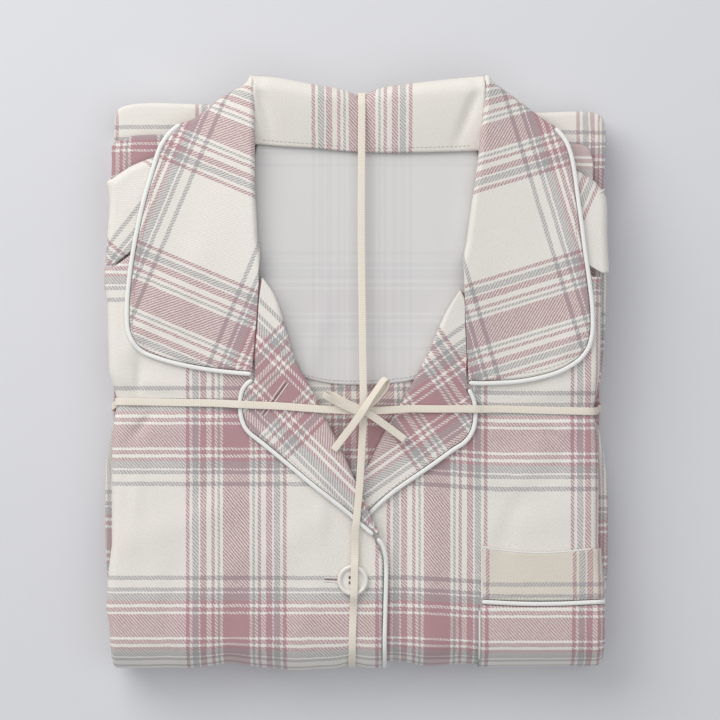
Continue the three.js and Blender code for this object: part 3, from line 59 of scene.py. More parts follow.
# Main creases of the shirt: x, y, direction in degrees, half length, half width, height
creases = np.array([
    (-112, -22, 8, 26, 5, 0.9), (-108, -9, -10, 24, 5, 0.8), (-84, -27, 4, 22, 6, 0.5),
    (-118, -40, -52, 22, 6, -0.9), (-122, 22, 62, 20, 6, 0.9), (-96, -84, 18, 46, 9, 0.8),
    (-60, -118, -8, 40, 10, -0.7), (-104, -128, 80, 26, 7, -0.7), (-36, -92, 34, 40, 10, 0.7),
    (-72, -152, 84, 26, 8, -0.9), (-30, -140, 70, 26, 7, 0.7), (108, -28, -8, 26, 5, 0.9),
    (112, -12, 12, 22, 5, 0.8), (120, -44, 55, 20, 6, -0.8), (84, -60, -20, 40, 9, 0.7),
    (52, -88, -64, 36, 8, -0.9), (40, -120, 86, 34, 7, 0.9), (60, -146, 80, 22, 7, -0.8),
    (104, -82, 10, 36, 9, 0.6), (120, 20, 70, 22, 6, 0.8), (86, -38, 20, 26, 6, -0.5),
    (-126, 92, 70, 20, 6, 0.6), (118, 84, -66, 18, 6, 0.6), (-20, -60, 40, 30, 9, 0.4),
    (-119, -28, 52, 10, 2.6, -2.2), (-90, -28, -68, 14, 4, -0.7), (-20, -80, 86, 16, 3.4, 0.4),
    (-13, -82, 88, 16, 3.2, -0.4), (-124, -70, 84, 30, 4, 0.5), (110, -36, -50, 10, 3, -1.4),
    (92, -62, 64, 22, 5, 0.5), (-86, -66, 52, 26, 6, -0.5), (-60, -92, 64, 24, 6, 0.5),
    (-122.5, -4, 88, 11, 2.4, -1.3), (86, -84, 75, 20, 6, -0.9),
], float)
facingFolds = np.array([
    (-24, 12, 76, 26, 5, 0.8), (-8, 6, 92, 24, 4.2, -0.6), (6, 6, 84, 28, 5, 0.7), (20, 8, 98, 24, 5, -0.6),
    (36, 14, 106, 24, 6, 0.8), (-40, 60, 84, 40, 9, 0.5), (44, 66, 96, 40, 9, 0.5),
], float)
leafFolds = np.array([
    (-92, 60, 62, 40, 10, 0.6), (-74, 24, -20, 26, 8, -0.5), (-110, 100, 48, 20, 7, 0.5), (-98, 36, 76, 26, 6, 0.4),
    (96, 60, -58, 40, 10, 0.6), (80, 22, 24, 26, 8, -0.5), (112, 96, -44, 20, 7, 0.5), (104, 30, -80, 26, 6, 0.4),
], float)
collarGrooves = (((-57, 166), (-45, 126)), ((71, 166), (56, 126)))


# Small tools
def smooth(low, high, value):
    # t*t*(3 - 2t) with t = (value - low) / (high - low), held to 0..1
    t = np.clip((np.asarray(value, float) - low) / (high - low), 0, 1)
    return t * t * (3 - 2 * t)


def bell(distance, width):
    # exp(-(distance / width)^2)
    return np.exp(-(distance / width) ** 2)


def mix(a, b, t):
    # a + (b - a) t
    return a + (b - a) * t


def curve(rows, samples=24):
    # Centripetal Catmull-Rom through the rows: cubic Hermite pieces whose tangents come from
    # knots spaced by the square root of the distances; kept as dense points with arc-length shares
    p = np.array(rows, float)
    p = np.vstack([2 * p[0] - p[1], p, 2 * p[-1] - p[-2]])
    a, b, c, d = p[:-3], p[1:-2], p[2:-1], p[3:]
    knot = [np.sqrt(np.linalg.norm(n - m, axis=1) + 1e-9)[:, None] for m, n in ((a, b), (b, c), (c, d))]
    begin = ((b - a) / knot[0] - (c - a) / (knot[0] + knot[1]) + (c - b) / knot[1]) * knot[1]
    end = ((c - b) / knot[1] - (d - b) / (knot[1] + knot[2]) + (d - c) / knot[2]) * knot[1]
    t = np.linspace(0, 1, samples, endpoint=False)[None, :, None]
    b, c, begin, end = (k[:, None, :] for k in (b, c, begin, end))
    cubic = b + begin * t + (3 * c - 3 * b - 2 * begin - end) * t ** 2 + (2 * b - 2 * c + begin + end) * t ** 3
    return path(np.vstack([cubic.reshape(-1, p.shape[1]), p[-2]]))


def path(points, share=None):
    # Points with their share of the arc length, or with shares of their own
    points = np.asarray(points, float)
    reach = np.concatenate([[0], np.cumsum(np.linalg.norm(np.diff(points, axis=0), axis=1))])
    return {"share": reach / reach[-1] if share is None else share, "points": points, "length": reach[-1]}


def at(line, t):
    # The point at share t, in straight lines between the dense points
    return np.stack([np.interp(t, line["share"], column) for column in line["points"].T], -1)


def along(line, t):
    # Unit direction: (p(t + h) - p(t - h)) / |...|
    h = 0.004
    d = at(line, np.clip(np.asarray(t, float) + h, 0, 1)) - at(line, np.clip(np.asarray(t, float) - h, 0, 1))
    return d / np.maximum(np.linalg.norm(d, axis=-1, keepdims=True), 1e-12)


def leftOf(line, t):
    # The direction turned by 90 degrees: (-dy, dx)
    d = along(line, t)
    return np.stack([-d[..., 1], d[..., 0]], -1)


def moved(line, distance):
    # p(t) + left(t) distance(t)
    t = line["share"]
    gap = distance(t) if callable(distance) else distance + 0 * t
    return path(line["points"][:, :2] + leftOf(line, t) * gap[:, None])


def part(line, low, high, count=200):
    return path(at(line, np.linspace(low, high, count)))


def patch(inner, outer, first, last, u, v):
    # Coons: (1-u) inner + u outer + (1-v) first + v last - bilinear blend of the corners
    a, b, c, d = (at(line, t) for line, t in ((inner, 0), (outer, 0), (inner, 1), (outer, 1)))
    u, v = u[..., None], v[..., None]
    sides = (1 - u) * at(inner, v[..., 0]) + u * at(outer, v[..., 0])
    ends = (1 - v) * at(first, u[..., 0]) + v * at(last, u[..., 0])
    corners = (1 - u) * (1 - v) * a + u * (1 - v) * b + (1 - u) * v * c + u * v * d
    return sides + ends - corners


# Heights
def crown(x, y):
    # crown (1 - (x/halfWidth)^2) (1 - (y/halfLength)^2)
    return form["crown"] * (1 - (x / form["halfWidth"]) ** 2) * (1 - (y / form["halfLength"]) ** 2)


def folds(x, y, table):
    # Sum of height exp(-(s/length)^2 - (t/width)^2), s along and t across each crease
    total = np.zeros(np.broadcast(x, y).shape)
    for cx, cy, angle, length, width, height in table:
        c, s = math.cos(math.radians(angle)), math.sin(math.radians(angle))
        forward, side = (x - cx) * c + (y - cy) * s, (y - cy) * c - (x - cx) * s
        total += height * np.exp(-(forward / length) ** 2 - (side / width) ** 2)
    return total


def creased(x, y):
    # The shirt's creases, faded where the tape presses
    total = 1.3 * folds(x, y, creases)
    across = bell(y - np.interp(x, tapeAcross[:, 0], tapeAcross[:, 1]), 8)
    down = bell(x - np.interp(y, tapeDown[:, 0], tapeDown[:, 1]), 8)
    return total * (1 - across) * (1 - down)


def lift(x, y):
    # crown - squeeze under the tape across - groove under the tape down - one side crease
    across = bell(y - np.interp(x, tapeAcross[:, 0], tapeAcross[:, 1]), form["squeezeWidth"])
    squeeze = (0.5 + 2.5 * np.abs(x / form["halfWidth"]) ** 3) * across
    down = 0.7 * bell(x - np.interp(y, tapeDown[:, 0], tapeDown[:, 1]), form["squeezeWidth"])
    return crown(x, y) - squeeze - down - 1.2 * bell(x + 122, 7) * bell(y + 2, 26)


def frontTop(x, y):
    return form["height"] + lift(x, y) + creased(x, y)


def overlapDip(x):
    return form["dip"] * smooth(form["dipStart"], form["dipFull"], x)


rollTables = {
    "left": [(-57.1, 166.5), (-57.1, 125), (-56.8, 100), (-55.6, 79), (-54.4, 62), (-52.6, 53), (-45.8, 43),
             (-40.2, 27), (-34.6, 8), (-23.9, -12), (-16.3, -28), (-6.5, -48), (2.5, -68.5), (9.5, -83),
             (14.1, -95.5)],
    "right": [(71.7, 166), (71, 146), (69.2, 128), (66.5, 108), (62.9, 82), (60.3, 62), (58, 46), (50.5, 34),
              (44, 20), (38, 6.5), (29, -10.5), (20.3, -25.5), (12.8, -39.5), (5, -55), (-2, -67.5)],
}
tentShares = [0, 0.3, 0.55, 0.75, 0.9, 1]
tentHeights = {"left": [7, 6, 4.6, 3.4, 1.8, 0.6], "right": [7, 6, 4.6, 3.2, 0.8, 0.3]}
rollSamples = {side: at(curve(rows), np.linspace(0, 1, 121)) for side, rows in rollTables.items()}


def tent(side, x, y):
    # height(share of the nearest roll point) (1 - distance / tentWidth)^1.5
    near = np.full(np.shape(x), np.inf)
    share = np.zeros(np.shape(x))
    for k, (px, py) in enumerate(rollSamples[side]):
        distance = np.hypot(x - px, y - py)
        share = np.where(distance < near, k / 120, share)
        near = np.minimum(distance, near)
    height = np.interp(share, tentShares, tentHeights[side])
    return height * np.clip(1 - near / form["tentWidth"], 0, 1) ** 1.5


# Materials
def srgb(code):
    # Hex colour to linear: ((c + 0.055) / 1.055)^2.4, or c / 12.92 when dark
    parts = [int(code[k:k + 2], 16) / 255 for k in (1, 3, 5)]
    return [c / 12.92 if c <= 0.04045 else ((c + 0.055) / 1.055) ** 2.4 for c in parts] + [1]


def addNode(tree, kind, inputs=None, **settings):
    # One node with its settings; each input is a value or another node's output
    made = tree.nodes.new(kind)
    for key, value in settings.items():
        setattr(made, key, value)
    for key, value in (inputs or {}).items():
        if isinstance(value, bpy.types.NodeSocket):
            tree.links.new(value, made.inputs[key])
        else:
            made.inputs[key].default_value = value
    return made


def newMaterial(name, colour, roughness, sheen=0.0, specular=0.3, coat=0.0):
    made = bpy.data.materials.new(name)
    made.use_nodes = True
    made.diffuse_color = srgb(colour)
    tree = made.node_tree
    tree.nodes.clear()
    shader = addNode(tree, "ShaderNodeBsdfPrincipled", {
        "Base Color": srgb(colour), "Roughness": roughness, "IOR": 1.5, "Specular IOR Level": specular,
        "Sheen Weight": sheen, "Sheen Roughness": 0.5, "Coat Weight": coat, "Coat Roughness": 0.12})
    addNode(tree, "ShaderNodeOutputMaterial", {"Surface": shader.outputs[0]})
    return made, tree, shader


# Stripes from the middle of a group, in hundredths of the half repeat: where each colour starts
plaid = {
    "cream": "#E8E4DC", "pink": "#A87B82", "grey": "#9C9C9E", "white": "#EEECE7", "nap": "#E2D9D4",
    "warp": [(0, "pink"), (14.1, "cream"), (17.4, "grey"), (20.1, "cream"), (23.4, "pink"), (26.6, "cream"),
             (32.1, "pink"), (38.9, "cream"), (40.8, "grey"), (47.3, "cream"), (50.5, "pink"), (54.4, "cream")],
    "weft": [(0, "pink"), (12.2, "white"), (15.2, "pink"), (19.6, "white"), (23.2, "pink"), (27.2, "grey"),
             (34.8, "white"), (37, "grey"), (41.3, "cream"), (49.3, "grey"), (54, "cream")],
    "twillAcross": 1.85, "twillDown": 2.05,
}


def stripes(tree, value, name):
    # Colour by |fract(value + 0.5) - 0.5| * 2, the distance from the group's middle
    shifted = addNode(tree, "ShaderNodeMath", {0: value, 1: 0.5}, operation="ADD")
    wrapped = addNode(tree, "ShaderNodeMath", {0: shifted.outputs[0]}, operation="FRACT")
    centred = addNode(tree, "ShaderNodeMath", {0: wrapped.outputs[0], 1: 0.5}, operation="SUBTRACT")
    distance = addNode(tree, "ShaderNodeMath", {0: centred.outputs[0]}, operation="ABSOLUTE")
    scaled = addNode(tree, "ShaderNodeMath", {0: distance.outputs[0], 1: 2.0}, operation="MULTIPLY")
    ramp = addNode(tree, "ShaderNodeValToRGB", {0: scaled.outputs[0]})
    ramp.color_ramp.interpolation = "CONSTANT"
    rows = plaid[name]
    elements = ramp.color_ramp.elements
    elements[0].position, elements[0].color = 0, srgb(plaid[rows[0][1]])
    elements[1].position, elements[1].color = rows[-1][0] / 100, srgb(plaid[rows[-1][1]])
    for place, colour in rows[1:-1]:
        elements.new(place / 100).color = srgb(plaid[colour])
    return ramp.outputs[0]


def plaidFlannel(name, cream):
    # Brushed 2/2 twill: soft diagonal lines of warp and weft, a dull nap, threads a little uneven
    made, tree, shader = newMaterial(name, "#DCCBC6", 0.93, sheen=0.22, specular=0.15)
    plaid["cream"] = cream
    cloth = addNode(tree, "ShaderNodeUVMap", uv_map="cloth")
    wobble = addNode(tree, "ShaderNodeTexNoise", {"Vector": cloth.outputs[0], "Scale": 22.0, "Detail": 2.0})
    soft = addNode(tree, "ShaderNodeVectorMath", {0: wobble.outputs["Color"], 1: (0.5, 0.5, 0.5)},
                   operation="SUBTRACT")
    small = addNode(tree, "ShaderNodeVectorMath", {0: soft.outputs[0], "Scale": 0.008}, operation="SCALE")
    place = addNode(tree, "ShaderNodeVectorMath", {0: cloth.outputs[0], 1: small.outputs[0]}, operation="ADD")
    axes = addNode(tree, "ShaderNodeSeparateXYZ", {0: place.outputs[0]})
    warp = stripes(tree, axes.outputs[0], "warp")
    weft = stripes(tree, axes.outputs[1], "weft")
    # twill: fract(across/1.85 mm + down/2.05 mm) says which thread lies on top
    across = addNode(tree, "ShaderNodeMath", {0: axes.outputs[0], 1: sett / plaid["twillAcross"]},
                     operation="MULTIPLY")
    phase = addNode(tree, "ShaderNodeMath", {0: axes.outputs[1], 1: sett / plaid["twillDown"],
                                             2: across.outputs[0]}, operation="MULTIPLY_ADD")
    ragged = addNode(tree, "ShaderNodeTexNoise", {"Vector": cloth.outputs[0], "Scale": 150.0, "Detail": 3.0,
                                                  "Roughness": 0.7})
    uneven = addNode(tree, "ShaderNodeMath", {0: ragged.outputs[0], 1: 0.9, 2: phase.outputs[0]},
                     operation="MULTIPLY_ADD")
    turn = addNode(tree, "ShaderNodeMath", {0: uneven.outputs[0], 1: 2 * math.pi}, operation="MULTIPLY")
    wave = addNode(tree, "ShaderNodeMath", {0: turn.outputs[0]}, operation="SINE")
    onTop = addNode(tree, "ShaderNodeMapRange", {0: wave.outputs[0], 1: -0.55, 2: 0.55, 3: 0.06, 4: 0.94},
                    interpolation_type="SMOOTHSTEP")
    crossed = addNode(tree, "ShaderNodeMix", {0: onTop.outputs[0], 6: warp, 7: weft}, data_type="RGBA")
    darker = addNode(tree, "ShaderNodeMix", {0: 1.0, 6: warp, 7: weft}, data_type="RGBA", blend_type="DARKEN")
    woven = addNode(tree, "ShaderNodeMix", {0: 0.22, 6: crossed.outputs[2], 7: darker.outputs[2]},
                    data_type="RGBA")
    fuzz = addNode(tree, "ShaderNodeTexNoise", {"Vector": cloth.outputs[0], "Scale": 420.0, "Detail": 4.0,
                                                "Roughness": 0.75})
    patchy = addNode(tree, "ShaderNodeTexNoise", {"Vector": cloth.outputs[0], "Scale": 6.0, "Detail": 3.0})
    mottle = addNode(tree, "ShaderNodeTexNoise", {"Vector": cloth.outputs[0], "Scale": 105.0, "Detail": 3.0,
                                                  "Roughness": 0.65})
    lines = addNode(tree, "ShaderNodeMath", {0: onTop.outputs[0], 1: 0.05, 2: 0.86}, operation="MULTIPLY_ADD")
    shade = addNode(tree, "ShaderNodeMath", {0: mottle.outputs[0], 1: 0.24, 2: lines.outputs[0]},
                    operation="MULTIPLY_ADD")
    broad = addNode(tree, "ShaderNodeMath", {0: patchy.outputs[0], 1: 0.06, 2: 0.98}, operation="MULTIPLY_ADD")
    both = addNode(tree, "ShaderNodeMath", {0: shade.outputs[0], 1: broad.outputs[0]}, operation="MULTIPLY")
    fluffy = addNode(tree, "ShaderNodeMath", {0: fuzz.outputs[0], 1: 0.34, 2: -0.03}, operation="MULTIPLY_ADD")
    fibres = addNode(tree, "ShaderNodeMix", {0: fluffy.outputs[0], 6: woven.outputs[2], 7: srgb(plaid["nap"])},
                     data_type="RGBA")
    napped = addNode(tree, "ShaderNodeMix", {0: 1.0, 6: fibres.outputs[2], 7: both.outputs[0]},
                     data_type="RGBA", blend_type="MULTIPLY")
    tree.links.new(napped.outputs[2], shader.inputs["Base Color"])
    height = addNode(tree, "ShaderNodeMath", {0: fuzz.outputs[0], 1: 0.8, 2: onTop.outputs[0]},
                     operation="MULTIPLY_ADD")
    bump = addNode(tree, "ShaderNodeBump", {"Strength": 0.35, "Distance": 0.00025, "Height": height.outputs[0]})
    tree.links.new(bump.outputs[0], shader.inputs["Normal"])
    return made


def whiteFacing():
    # Thin plain-woven white cotton, matte, with the plaid behind it showing through very faintly
    made, tree, shader = newMaterial("white cotton facing", "#DCDCDB", 0.85, sheen=0.05, specular=0.2)
    cloth = addNode(tree, "ShaderNodeUVMap", uv_map="cloth")
    axes = addNode(tree, "ShaderNodeSeparateXYZ", {0: cloth.outputs[0]})
    # The plaid behind is drawn with the darker cream left in plaid by the band's flannel: painted shade of the plaid
    # seen through the facing
    warp = stripes(tree, axes.outputs[0], "warp")
    weft = stripes(tree, axes.outputs[1], "weft")
    ghost = addNode(tree, "ShaderNodeMix", {0: 0.5, 6: warp, 7: weft}, data_type="RGBA")
    faint = addNode(tree, "ShaderNodeMix", {0: 0.12, 6: srgb("#D5D5D5"), 7: ghost.outputs[2]},
                    data_type="RGBA")
    threads = addNode(tree, "ShaderNodeTexNoise", {"Vector": cloth.outputs[0], "Scale": 330.0, "Detail": 2.0})
    shade = addNode(tree, "ShaderNodeMath", {0: threads.outputs[0], 1: 0.08, 2: 0.96}, operation="MULTIPLY_ADD")
    toned = addNode(tree, "ShaderNodeMix", {0: 1.0, 6: faint.outputs[2], 7: shade.outputs[0]},
                    data_type="RGBA", blend_type="MULTIPLY")
    tree.links.new(toned.outputs[2], shader.inputs["Base Color"])
    bump = addNode(tree, "ShaderNodeBump", {"Strength": 0.2, "Distance": 0.0001, "Height": threads.outputs[0]})
    tree.links.new(bump.outputs[0], shader.inputs["Normal"])
    return made


def ribbed(name, colour, dark, ribs, strength, roughness):
    # Woven tape or bias strip: ribs across its length, sin(2 pi along / rib), and a little thread noise
    made, tree, shader = newMaterial(name, colour, roughness, sheen=0.1, specular=0.2)
    cloth = addNode(tree, "ShaderNodeUVMap", uv_map="cloth")
    axes = addNode(tree, "ShaderNodeSeparateXYZ", {0: cloth.outputs[0]})
    turn = addNode(tree, "ShaderNodeMath", {0: axes.outputs[0], 1: 2 * math.pi * sett / ribs},
                   operation="MULTIPLY")
    wave = addNode(tree, "ShaderNodeMath", {0: turn.outputs[0]}, operation="SINE")
    threads = addNode(tree, "ShaderNodeTexNoise", {"Vector": cloth.outputs[0], "Scale": 260.0, "Detail": 3.0})
    height = addNode(tree, "ShaderNodeMath", {0: wave.outputs[0], 1: 0.5, 2: threads.outputs[0]},
                     operation="MULTIPLY_ADD")
    tone = addNode(tree, "ShaderNodeMapRange", {0: height.outputs[0], 1: 0.0, 2: 1.0, 3: 0.0, 4: 1.0})
    woven = addNode(tree, "ShaderNodeMix", {0: tone.outputs[0], 6: srgb(dark), 7: srgb(colour)},
                    data_type="RGBA")
    tree.links.new(woven.outputs[2], shader.inputs["Base Color"])
    bump = addNode(tree, "ShaderNodeBump", {"Strength": strength, "Distance": 0.0002,
                                            "Height": height.outputs[0]})
    tree.links.new(bump.outputs[0], shader.inputs["Normal"])
    return made


def buttonPlastic():
    # Off-white polished resin with a faint pearly cloud, a clear gloss on its rim
    made, tree, shader = newMaterial("button resin", "#E4E0D9", 0.24, specular=0.5, coat=0.5)
    place = addNode(tree, "ShaderNodeTexCoord")
    cloud = addNode(tree, "ShaderNodeTexNoise", {"Vector": place.outputs["Object"], "Scale": 260.0})
    tone = addNode(tree, "ShaderNodeMix", {0: cloud.outputs[0], 6: srgb("#DFDAD1"), 7: srgb("#EBE8E2")},
                   data_type="RGBA")
    tree.links.new(tone.outputs[2], shader.inputs["Base Color"])
    return made


def backdrop():
    # Matte pale blue-grey card
    made, tree, shader = newMaterial("pale card", "#DADBDF", 0.9, specular=0.2)
    place = addNode(tree, "ShaderNodeTexCoord")
    grain = addNode(tree, "ShaderNodeTexNoise", {"Vector": place.outputs["Object"], "Scale": 3.0})
    tone = addNode(tree, "ShaderNodeMix", {0: grain.outputs[0], 6: srgb("#D8D9DD"), 7: srgb("#DCDDE0")},
                   data_type="RGBA")
    tree.links.new(tone.outputs[2], shader.inputs["Base Color"])
    return made


flannel = plaidFlannel("plaid flannel", "#E6E3DB")
# The band's copy of the flannel, with a darker cream; plaid keeps this cream for the facing's faint plaid
bandFlannel = plaidFlannel("plaid flannel of the band", "#DAD3C6")
facingCotton = whiteFacing()
pipingCotton = ribbed("white bias piping", "#EFF0EC", "#E6E7E4", 0.9, 0.08, 0.7)
tapeCotton = ribbed("cream cotton tape", "#EDE6D9", "#DFD6C7", 0.95, 0.2, 0.85)
# Sewing thread painted darker than it is: painted shade of the stitch lines
shadedThread = ribbed("sewing thread", "#C4BFB7", "#A9A49D", 0.6, 0.3, 0.7)
# Pale thread for the buttonholes' bars, also used for the painted highlight along the pocket's and band's folded edges
paleThreadAndHighlight = ribbed("pale thread and painted highlight", "#EFECE8", "#D9D5D0", 0.6, 0.3, 0.7)
# Cloth painted dark: painted shade inside the buttonhole slits and the gorge slots
shadedSlitCloth = ribbed("shaded cloth in a buttonhole", "#8B6266", "#6E5356", 0.8, 0.3, 0.95)
resin = buttonPlastic()
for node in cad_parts.values():
    for slot in node.material_slots:
        slot.material = flannel
print("materials made")


# Meshes
def makeObject(name, points, faces, uvs, material, replaced=()):
    mesh = bpy.data.meshes.new(name)
    mesh.from_pydata((np.asarray(points) * mm).tolist(), [], faces.tolist())
    layer = mesh.uv_layers.new(name="cloth")
    layer.data.foreach_set("uv", np.asarray(uvs, float)[faces.ravel()].ravel() / sett)
    mesh.polygons.foreach_set("use_smooth", np.full(len(faces), True))
    mesh.update()
    made = bpy.data.objects.new(name, mesh)
    bpy.context.scene.collection.objects.link(made)
    return finished(made, material, replaced)


def finished(made, material, replaced=()):
    # Material, body, slot and the CAD nodes that the piece stands for
    made.data.materials.append(material)
    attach(made, "root")
    if replaced:
        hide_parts(*replaced)
    return made


def gridFaces(rows, columns, closed=False):
    # Quads of a grid; closed joins the last column to the first
    k = np.arange(rows * columns).reshape(rows, columns)
    right = np.roll(k, -1, axis=1) if closed else k[:, 1:]
    left = k if closed else k[:, :-1]
    return np.stack([left[:-1], left[1:], right[1:], right[:-1]], -1).reshape(-1, 4)


def turnedUv(cloth, angle, origin, mirrored=False):
    # Plaid coordinates: rotate (cloth - origin) by -angle, so the warp runs along the turned Y
    c, s = math.cos(math.radians(angle)), math.sin(math.radians(angle))
    x, y = cloth[..., 0] - origin[0], cloth[..., 1] - origin[1]
    u, v = x * c + y * s, y * c - x * s
    return np.stack([-u if mirrored else u, v], -1)


def sheetArea(points):
    # Sum of |cross product of the diagonals| / 2 over the grid's cells, in m^2
    a, b = points[1:, 1:] - points[:-1, :-1], points[1:, :-1] - points[:-1, 1:]
    return float(np.linalg.norm(np.cross(a, b), axis=-1).sum() / 2 * mm * mm)


def addCloth(name, grid, plaidFrame, wall, material=flannel, probe=None):
    # A thin shell: the grid is its outer face, Solidify adds the inner one; at the probe it looks up
    points, cloth = grid
    rows, columns = points.shape[:2]
    faces = gridFaces(rows, columns)
    normal = np.cross(points[1:, :-1] - points[:-1, :-1], points[:-1, 1:] - points[:-1, :-1])
    i, j = probe or (rows // 2, columns // 2)
    if normal[i - 2:i + 3, j - 2:j + 3, 2].sum() < 0:
        faces = faces[:, ::-1]
    uvs = turnedUv(cloth, *plaidFrame).reshape(-1, 2)
    made = makeObject(name + "_cloth", points.reshape(-1, 3), faces, uvs, material, (name,))
    shell = made.modifiers.new("wall", "SOLIDIFY")
    shell.thickness, shell.offset, shell.use_rim = wall * mm, -1, True
    print(name, rows * columns, "points, outer face", round(sheetArea(points), 4), "m2")
    return made


def turnedEdge(radius, angles, below=None, runs=()):
    # Steps of a turned edge, furthest first: how far out (r sin a) and how far below (r (1 - cos a))
    turn = [(lambda t, z, a=a: radius(t) * np.sin(a), lambda t, z, a=a: radius(t) * (1 - np.cos(a)))
            for a in np.radians(angles)]
    if below is not None:
        turn += [(lambda t, z: radius(t), lambda t, z, k=k: mix(radius(t), below(t, z), k)) for k in (0.25, 0.5, 0.75, 1)]
    turn += [(lambda t, z, run=run: -run(t), lambda t, z: 2 * radius(t)) for run in runs]
    return turn[::-1]


def laidGrid(inner, outer, first, last, us, vs, height, beside=(), before=(), heading=None):
    # A patch seen from above at z = height(x, y, u, v), with turned edges past the inner curve
    # (columns) and past the first curve (rows); cloth coordinates run on by arc length
    rowV = np.concatenate([np.zeros(len(before)), vs])
    columnU = np.concatenate([np.zeros(len(beside)), us])
    u, v = np.meshgrid(columnU, rowV)
    flat = patch(inner, outer, first, last, u, v)
    z = height(flat[..., 0], flat[..., 1], u, v)
    middle = patch(inner, outer, first, last, np.array(0.5), np.array(0.5))
    facing = lambda line: np.sign(np.dot(leftOf(line, 0.5), at(line, 0.5) - middle))
    aside = leftOf(inner, rowV) * facing(inner)
    ahead = leftOf(first, columnU) * facing(first)
    if heading:
        ahead = heading(columnU, ahead)
    sideways, forwards, drop = np.zeros_like(z), np.zeros_like(z), np.zeros_like(z)
    for k, (away, down) in enumerate(beside):
        sideways[:, k] = away(rowV, z[:, k])
        drop[:, k] = np.maximum(drop[:, k], down(rowV, z[:, k]))
    for k, (away, down) in enumerate(before):
        forwards[k] = away(columnU, z[k])
        drop[k] = np.maximum(drop[k], down(columnU, z[k]))
    # at a corner both steps shrink to max(a, b) / hypot(a, b), so that it is round
    both = (sideways > 0) & (forwards > 0)
    fit = np.where(both, np.maximum(sideways, forwards) / np.hypot(sideways, forwards + 1e-9), 1)[..., None]
    out = aside[:, None] * sideways[..., None] * fit + ahead[None] * forwards[..., None] * fit
    points = np.concatenate([flat + out, (z - drop)[..., None]], -1)
    cloth = flat.copy()
    for axis, count, way in ((1, len(beside), aside[:, None]), (0, len(before), ahead[None])):
        if count:
            step = np.linalg.norm(np.diff(points, axis=axis), axis=-1)
            step = np.take(step, range(count), axis=axis)
            run = np.flip(np.cumsum(np.flip(step, axis), axis=axis), axis)
            place = (slice(None), slice(0, count)) if axis else (slice(0, count),)
            cloth[place] += np.broadcast_to(way, flat.shape)[place] * run[..., None]
    return points, cloth


def tubeAlong(name, points, radius, material, node=None, flat=0.66, sides=14, step=0.8):
    # A rounded strip along a smooth path: ring points p + r (cos a side + flat sin a up)
    line = curve(points, 12)
    count = max(int(line["length"] / step), 4)
    t = np.linspace(0, 1, count)
    p, d = at(line, t), along(line, t)
    side = np.stack([-d[:, 1], d[:, 0], 0 * t], -1)
    side /= np.maximum(np.linalg.norm(side, axis=1, keepdims=True), 1e-9)
    side[np.linalg.norm(d[:, :2], axis=1) < 0.3] = [1, 0, 0]
    side -= d * (side * d).sum(1, keepdims=True)
    side /= np.linalg.norm(side, axis=1, keepdims=True)
    up = np.cross(d, side)
    a = np.linspace(0, 2 * np.pi, sides, endpoint=False)
    ends = 1 - 0.5 * (bell(t * line["length"], 0.7) + bell((1 - t) * line["length"], 0.7))
    r = (radius * ends)[:, None, None]
    ring = p[:, None] + r * (np.cos(a)[None, :, None] * side[:, None] + flat * np.sin(a)[None, :, None] * up[:, None])
    return closedTube(name, ring, stripUv(t * line["length"], radius, sides), material, node)


def stripUv(reach, width, sides):
    # Along the strip and across it, -width to width
    return np.stack(np.broadcast_arrays(reach[:, None], np.linspace(-width, width, sides)[None]), -1)


def closedTube(name, ring, uvs, material, node=None):
    # Rings joined to a closed surface, with a fan of triangles at each end; faces point outwards
    rows, sides = ring.shape[:2]
    faces = gridFaces(rows, sides, closed=True)
    points = np.vstack([ring.reshape(-1, 3), ring[0].mean(0), ring[-1].mean(0)])
    uvs = np.vstack([uvs.reshape(-1, 2), uvs[0].mean(0), uvs[-1].mean(0)])
    k = np.arange(sides)
    after, base = (k + 1) % sides, (rows - 1) * sides
    triangles = np.vstack([np.stack([k, after, np.full(sides, rows * sides)], -1),
                           np.stack([base + after, base + k, np.full(sides, rows * sides + 1)], -1)])
    mesh = bpy.data.meshes.new(name)
    mesh.from_pydata((points * mm).tolist(), [], faces.tolist() + triangles.tolist())
    layer = mesh.uv_layers.new(name="cloth")
    order = np.concatenate([faces.ravel(), triangles.ravel()])
    layer.data.foreach_set("uv", uvs[order].ravel() / sett)
    mesh.polygons.foreach_set("use_smooth", np.full(len(mesh.polygons), True))
    mesh.update()
    middle = (rows - 1) // 2
    edge = points[faces[middle * sides]]
    outward = np.cross(edge[1] - edge[0], edge[3] - edge[0])
    if np.dot(outward, edge[0] - ring[middle].mean(0)) < 0:
        mesh.flip_normals()
    made = bpy.data.objects.new(name, mesh)
    bpy.context.scene.collection.objects.link(made)
    return finished(made, material, (node,) if node else ())


def spindles(name, p, d, length, radius, thread=None, lift=0.12):
    # Short threads at p along d: six rings of six, girth radius sqrt(1 - (2s)^2)
    count = len(p)
    side = np.cross(d, [0, 0, 1])
    side /= np.maximum(np.linalg.norm(side, axis=1, keepdims=True), 1e-9)
    up = np.cross(side, d)
    s = np.linspace(-0.5, 0.5, 6)
    a = np.linspace(0, 2 * np.pi, 6, endpoint=False)
    girth = radius * np.sqrt(np.clip(1 - (2 * s * 0.96) ** 2, 0, 1))
    centre = p[:, None, None] + d[:, None, None] * (s * length)[None, :, None, None] + up[:, None, None] * lift
    ring = centre + girth[None, :, None, None] * (
        np.cos(a)[None, None, :, None] * side[:, None, None] + 0.7 * np.sin(a)[None, None, :, None] * up[:, None, None])
    ends = np.array([[0, 1, 2, 3], [0, 3, 4, 5], [33, 32, 31, 30], [35, 34, 33, 30]])
    single = np.vstack([gridFaces(6, 6, closed=True)[:, ::-1], ends[:, ::-1]])
    faces = (single[None] + (np.arange(count) * 36)[:, None, None]).reshape(-1, 4)
    points = ring.reshape(-1, 3)
    return makeObject(name, points, faces, points[:, :2], thread or shadedThread)


